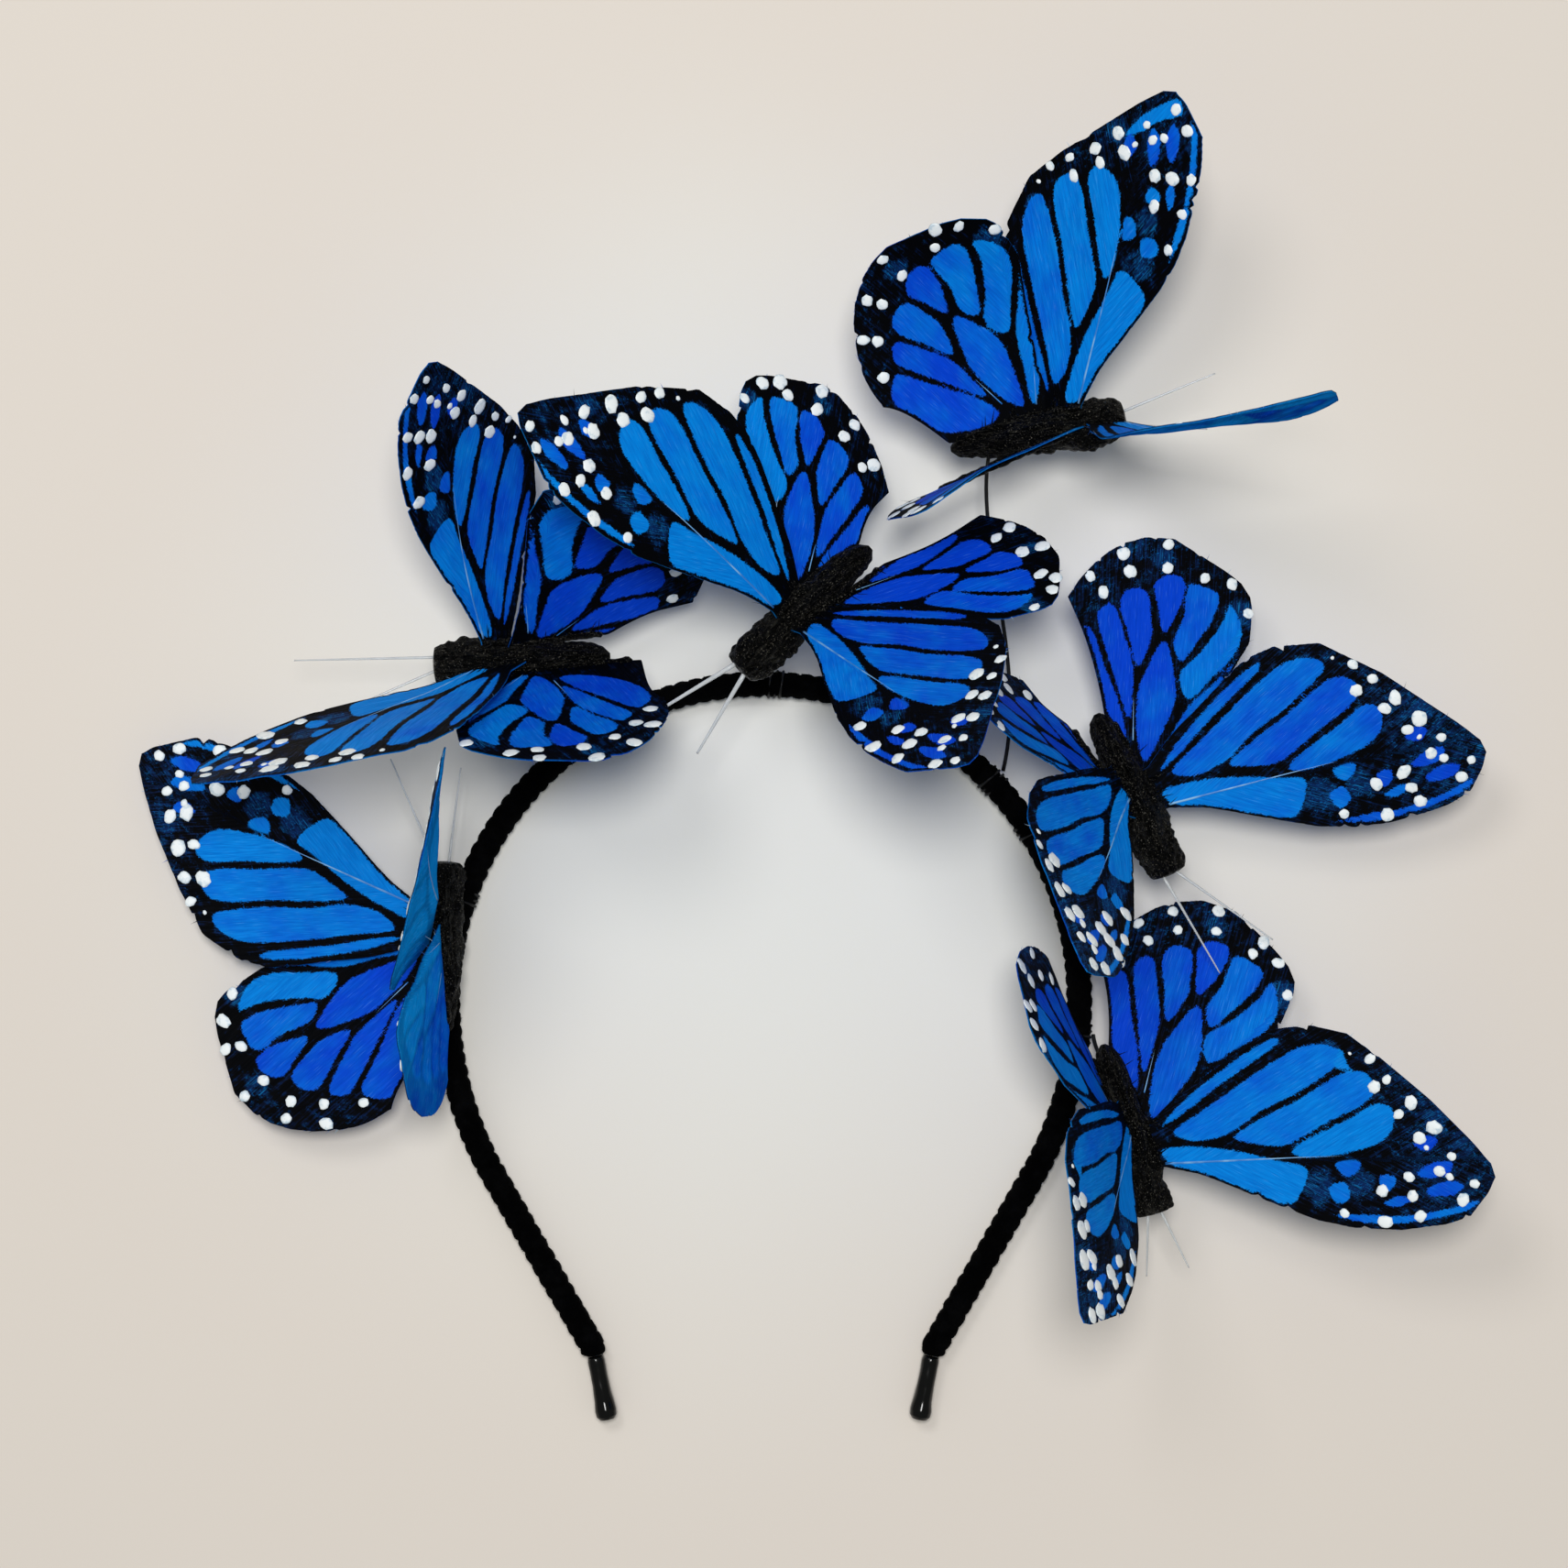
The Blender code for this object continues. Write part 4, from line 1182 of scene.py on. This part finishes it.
def make_body(name):
    """A lumpy body with ridges of thick paint along it."""
    seed = list(PLACES).index(name) * 7.1
    heading = heading_turn(name)
    centre = butterfly_centre(name)
    rings, along = [], []
    for row in range(BODY_ROWS):
        t = row / (BODY_ROWS - 1)
        share = 0.5 - 0.5 * math.cos(math.pi * t)
        ahead = BODY_LENGTH * (0.5 - share)
        around = (-0.02, -0.01, 0.0, 0.01, 0.02)
        wide = np.mean([body_radius(ahead + BODY_LENGTH * slip) for slip in around])
        edge = min(share, 1 - share)
        if edge < BODY_ROUND:
            wide = min(wide, BODY_RADIUS * math.sqrt(edge / BODY_ROUND) * 0.78)
        sway = 0.45 * MM * noise.noise(Vector((ahead / (9 * MM), seed, 0.0)))
        ring, marks = [], []
        for side in range(BODY_SIDES):
            turn = 2 * math.pi * side / BODY_SIDES
            across, up = math.cos(turn), math.sin(turn)
            spot = Vector((ahead / (7 * MM), across, up + seed))
            ridge = Vector((ahead / (5 * MM), across * 3.5, up * 3.5 + seed))
            pit = Vector((ahead / (1.2 * MM), across * 4, up * 4 + seed))
            lump = 0.28 * noise.noise(spot) + 0.22 * noise.noise(ridge) + 0.16 * noise.noise(pit)
            r = wide * (0.97 + lump)
            ring.append(centre + heading @ Vector((ahead, across * r + sway, up * r)))
            marks.append((ahead / MM, across * BODY_RADIUS / MM, up * BODY_RADIUS / MM + seed))
        rings.append(ring)
        along += marks
    along += [(BODY_LENGTH / 2 / MM, 0.0, seed), (-BODY_LENGTH / 2 / MM, 0.0, seed)]
    shape = Shape()
    add_rings(shape, np.array(rings)[:, ::-1], along=np.array(along))
    item = shape.build(name + "_painted_body", PAINT, "body_paint")
    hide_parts(name + "_body")


def make_antennae(name):
    """Two clear bristles from the head."""
    heading = heading_turn(name)
    centre = butterfly_centre(name)
    for side, setting in zip((1, -1), ANTENNAE[name]):
        yaw, climb = radians(setting["yaw"]), radians(setting["climb"])
        length = ANTENNA_LENGTH * setting["length"]
        flat = math.cos(climb)
        ahead = Vector((math.cos(yaw) * flat, math.sin(yaw) * flat, math.sin(climb)))
        head = BODY_LENGTH / 2 + CLEARANCE + ANTENNA_RADIUS
        start = Vector((head, side * BODY_RADIUS * ANTENNA_ASIDE, BODY_RADIUS * ANTENNA_UP))
        places, radii = [], []
        for step in range(ANTENNA_STEPS + 1):
            share = step / ANTENNA_STEPS
            root = ahead * (length * share - (ANTENNA_SINK if step == 0 else 0.0))
            sag = Vector((0.0, 0.0, -ANTENNA_SAG * length * share**2))
            places.append(centre + heading @ (start + root + sag))
            radii.append(ANTENNA_RADIUS * (0.95 - 0.5 * share) * BRISTLE_WIDTH.get(name, 1.0))
        shape = Shape()
        add_tube(shape, places, radii, sides=10)
        hand = "left" if side > 0 else "right"
        item = shape.build(name + "_bristle_" + hand, BRISTLE, "bristle")
        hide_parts(name + "_antenna_" + hand)


def bezier(points, share):
    a, b, c, d = points
    rest = 1 - share
    return a * rest**3 + b * 3 * rest**2 * share + c * 3 * rest * share**2 + d * share**3


def make_stem(name):
    """The wire from the band up to the body, and its turns round the band."""
    setting, heading = STEMS[name], PLACES[name]["heading"]
    foot_angle = PLACES[name]["foot"]
    foot_radius = CROWN_RADIUS + BAND_THICKNESS / 2 + CLEARANCE + STEM_RADIUS
    foot = CROWN + round_point(foot_angle, foot_radius, BAND_HEIGHT / 2)
    ahead = Vector((math.cos(radians(heading)), math.sin(radians(heading)), 0.0))
    behind = setting["behind"] * BODY_LENGTH
    drop = Vector((0.0, 0.0, body_radius(-behind) + CLEARANCE + STEM_RADIUS))
    end = butterfly_centre(name) - ahead * behind - drop
    span = end - foot
    sideways = Vector((-span.y, span.x, 0.0))
    low = foot + span * STEM_LOW + sideways * setting["bow_low"]
    high = foot + span * STEM_HIGH + sideways * setting["bow_high"]
    low.z = foot.z + span.z * STEM_LIFT
    high.z = foot.z + span.z * STEM_HIGH
    handles = (foot, low, high, end)
    places = [bezier(handles, step / STEM_STEPS) for step in range(STEM_STEPS + 1)]
    shape = Shape()
    add_tube(shape, places, [STEM_RADIUS] * len(places), sides=10)
    item = shape.build(name + "_wire", WIRE, "black_wire")
    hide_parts(name + "_stem")
    wraps = Shape()
    spiral = []
    for step in range(WIRE_TURNS * WIRE_TURN_STEPS + 1):
        run = step / WIRE_TURN_STEPS
        turn = 2 * math.pi * run
        arc = (run - WIRE_TURNS / 2) * WIRE_TURN_PITCH / CROWN_RADIUS
        out = (BAND_THICKNESS / 2 + STEM_RADIUS * 0.4) * math.cos(turn)
        rise = (BAND_HEIGHT / 2 - STEM_RADIUS * 0.9) * math.sin(turn)
        angle = foot_angle + math.degrees(arc)
        spiral.append(CROWN + round_point(angle, CROWN_RADIUS + out, BAND_HEIGHT / 2 + rise))
    add_tube(wraps, spiral, [STEM_RADIUS * 0.8] * len(spiral), sides=8)
    wraps.build(name + "_wire_turns", WIRE, "black_wire")


def half_line():
    """Points of the right half of the band's centreline, and the way its tip runs on."""
    points = []
    for step in range(CROWN_STEPS + 1):
        points.append(round_point(90 - 90 * step / CROWN_STEPS, CROWN_RADIUS))
    side_centre = Vector((CROWN_RADIUS - SIDE_RADIUS, 0.0, 0.0))
    for step in range(1, SIDE_STEPS + 1):
        points.append(side_centre + round_point(-LEG_LEAN * step / SIDE_STEPS, SIDE_RADIUS))
    along = Vector((-math.sin(radians(LEG_LEAN)), -math.cos(radians(LEG_LEAN)), 0.0))
    corner = points[-1]
    for step in range(1, LEG_STEPS + 1):
        points.append(corner + along * LEG_LENGTH * step / LEG_STEPS)
    inward = Vector((along.y, -along.x, 0.0))
    bend_centre = points[-1] - inward * BEND_RADIUS
    turn = LEG_LEAN - TIP_LEAN
    for step in range(1, BEND_STEPS + 1):
        arm = Matrix.Rotation(radians(turn * step / BEND_STEPS), 3, "Z") @ (inward * BEND_RADIUS)
        points.append(bend_centre + arm)
    ahead = Vector((-math.sin(radians(TIP_LEAN)), -math.cos(radians(TIP_LEAN)), 0.0))
    return points, ahead


def even_line(points, step):
    """Points at even distances along a line, and the length run at each."""
    flat = np.array([point[:] for point in points])
    run = np.concatenate([[0.0], np.cumsum(np.linalg.norm(np.diff(flat, axis=0), axis=1))])
    count = int(run[-1] / step) + 1
    at = np.linspace(0.0, run[-1], count)
    line = np.stack([np.interp(at, run, flat[:, axis]) for axis in range(3)], axis=1)
    return line, at


def make_band():
    """Velvet wound round the band: each turn overlaps the last and leaves a slanting step."""
    right, ahead = half_line()
    left = [Vector((-point.x, point.y, 0.0)) for point in right]
    line, run = even_line(left[:0:-1] + right, WIND_STEP)
    line += np.array([CROWN.x, CROWN.y, BAND_HEIGHT / 2])
    tangent = np.gradient(line, axis=0)
    tangent /= np.linalg.norm(tangent, axis=1)[:, None]
    outward = np.stack([-tangent[:, 1], tangent[:, 0], np.zeros(len(line))], axis=1)
    turn = np.linspace(0, 2 * math.pi, WIND_SIDES, endpoint=False)
    straight = (BAND_HEIGHT - BAND_THICKNESS) / 2
    rings = []
    for row in range(len(line)):
        end = min(run[row], run[-1] - run[row]) / (1.2 * MM)
        close = math.sqrt(min(end, 1.0)) * 0.35 + 0.65
        phase = run[row] / WIND_PITCH + turn / (2 * math.pi)
        phase += 0.12 * noise.noise(Vector((run[row] / (9 * MM), 0.0, 0.0)))
        share = phase - np.floor(phase)
        swell = 1 + 0.5 * noise.noise(Vector((run[row] / (3.3 * MM), 5.0, 0.0)))
        bulge = np.sin(math.pi * share) ** 0.45
        depth = WIND_PROUD * swell - WIND_DEPTH * (1 - bulge) * swell
        rough = np.array([
            noise.noise(Vector((run[row] / (0.8 * MM), math.cos(a) * 3, math.sin(a) * 3)))
            for a in turn
        ])
        r = (BAND_THICKNESS / 2 + depth + 0.1 * MM * rough) * close
        across = r * np.cos(turn)
        up = r * np.sin(turn) + straight * close * np.sign(np.sin(turn) + 1e-9)
        up = np.maximum(up, -BAND_HEIGHT / 2 + 0.05 * MM)
        ring = line[row] + outward[row] * across[:, None]
        ring[:, 2] += up
        rings.append(ring)
    shape = Shape()
    add_rings(shape, np.array(rings)[:, ::-1])
    item = shape.build("band_velvet", VELVET, "velvet")
    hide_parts("band")
    make_pile(np.array(rings), line)
    make_tips(right[-1], ahead)


def make_pile(rings, line):
    """Short velvet fibres standing off the winding."""
    wobble = np.random.default_rng(7)
    rows, sides = rings.shape[:2]
    row = wobble.integers(2, rows - 2, PILE_FIBRES)
    side = wobble.integers(0, sides, PILE_FIBRES)
    foot = rings[row, side]
    away = foot - line[row]
    away /= np.linalg.norm(away, axis=1)[:, None]
    lean = wobble.normal(0, 0.45, (PILE_FIBRES, 3))
    direction = away + lean
    direction /= np.linalg.norm(direction, axis=1)[:, None]
    aside = np.cross(direction, wobble.normal(0, 1, (PILE_FIBRES, 3)))
    aside /= np.linalg.norm(aside, axis=1)[:, None]
    length = PILE_LENGTH * wobble.uniform(0.5, 1.2, (PILE_FIBRES, 1))
    foot = foot - away * 0.1 * MM
    tip = foot + direction * length
    tip[:, 2] = np.maximum(tip[:, 2], 0.05 * MM)
    other = np.cross(direction, aside)
    corners = [foot + aside * PILE_WIDTH, foot - aside * PILE_WIDTH, foot + other * PILE_WIDTH, tip]
    points = np.stack(corners, axis=1).reshape(-1, 3)
    base = np.arange(PILE_FIBRES)[:, None] * 4
    faces = np.concatenate([base + face for face in ([0, 1, 3], [1, 2, 3], [2, 0, 3], [0, 2, 1])])
    shape = Shape()
    shape.add(points, faces)
    shape.build("band_pile", VELVET, "velvet")


def make_tips(corner, ahead):
    """Glossy dipped ends with a soft bead at the point."""
    for side, name in ((1, "tip_right"), (-1, "tip_left")):
        rings = []
        for row in range(TIP_ROWS):
            share = math.sin(radians(90) * row / (TIP_ROWS - 1))
            width = np.interp(share, TIP_SHARES, TIP_WIDTHS)
            place = corner + ahead * (CLEARANCE + TIP_LENGTH * share)
            place = CROWN + Vector((side * place.x, place.y, BAND_HEIGHT / 2))
            along = Vector((side * ahead.x, ahead.y, 0.0))
            aside = Vector((-along.y, along.x, 0.0))
            ring = []
            for step in range(TIP_SIDES):
                turn = 2 * math.pi * step / TIP_SIDES
                lump = noise.noise(Vector((share * 5, math.cos(turn), math.sin(turn) + side * 3)))
                r = TIP_THICKNESS / 2 * width * (1 + 0.05 * lump)
                flat = (TIP_HEIGHT - TIP_THICKNESS) / 2
                lift = r * math.sin(turn) + flat * math.tanh(6 * math.sin(turn))
                ring.append(place + aside * r * math.cos(turn) + Vector((0.0, 0.0, lift)))
            rings.append(ring)
        shape = Shape()
        add_rings(shape, rings)
        item = shape.build(name + "_dip", DIP, "glossy_dip")
        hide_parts(name)


def make_floor():
    mesh = bpy.data.meshes.new("floor")
    half = FLOOR_HALF
    corners = [(-half, -half, 0.0), (half, -half, 0.0), (half, half, 0.0), (-half, half, 0.0)]
    mesh.from_pydata(corners, [], [(0, 1, 2, 3)])
    mesh.materials.append(floor_look())
    floor = bpy.data.objects.new("floor", mesh)
    bpy.context.scene.collection.objects.link(floor)


def make_camera():
    data = bpy.data.cameras.new("camera")
    data.sensor_width = SENSOR
    data.sensor_fit = "HORIZONTAL"
    data.lens = SENSOR * CAMERA_PLACE[2] / FRAME_WIDTH
    camera = bpy.data.objects.new("camera", data)
    camera.location = CAMERA_PLACE
    bpy.context.scene.collection.objects.link(camera)
    bpy.context.scene.camera = camera


def area_light(name, place, size, watts, colour):
    data = bpy.data.lights.new(name, "AREA")
    data.shape = "DISK"
    data.size = size
    data.energy = watts
    data.color = colour
    light = bpy.data.objects.new(name, data)
    light.location = place
    light.rotation_euler = Vector(place).to_track_quat("Z", "Y").to_euler()
    light.visible_camera = False
    bpy.context.scene.collection.objects.link(light)


def make_light():
    area_light("overhead", **OVERHEAD)
    area_light("window", **WINDOW)
    world = bpy.data.worlds.new("studio")
    world.use_nodes = True
    background = world.node_tree.nodes["Background"]
    background.inputs["Color"].default_value = STUDIO_COLOUR
    background.inputs["Strength"].default_value = STUDIO_STRENGTH
    bpy.context.scene.world = world
    bpy.context.scene.view_settings.view_transform = "Standard"
    bpy.context.scene.view_settings.look = "None"


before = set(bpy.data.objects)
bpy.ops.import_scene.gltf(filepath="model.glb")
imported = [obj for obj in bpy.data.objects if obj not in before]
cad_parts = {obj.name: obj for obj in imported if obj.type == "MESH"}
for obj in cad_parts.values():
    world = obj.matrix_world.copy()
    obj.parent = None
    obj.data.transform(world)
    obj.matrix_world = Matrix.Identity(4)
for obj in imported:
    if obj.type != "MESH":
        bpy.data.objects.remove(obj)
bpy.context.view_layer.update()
band_low, band_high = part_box("band")
CROWN = Vector((
    (band_low.x + band_high.x) / 2, band_high.y - CROWN_RADIUS - BAND_THICKNESS / 2, 0.0,
))

make_camera()
FEATHER = feather_look()
DOTS = dot_look()
QUILL = shaft_look()
BARBS = barb_look()
PAINT = paint_look()
VELVET = velvet_look()
DIP = dip_look()
BRISTLE = bristle_look()
WIRE = wire_look()

make_band()
for butterfly in PLACES:
    make_butterfly(butterfly)
make_floor()
make_light()
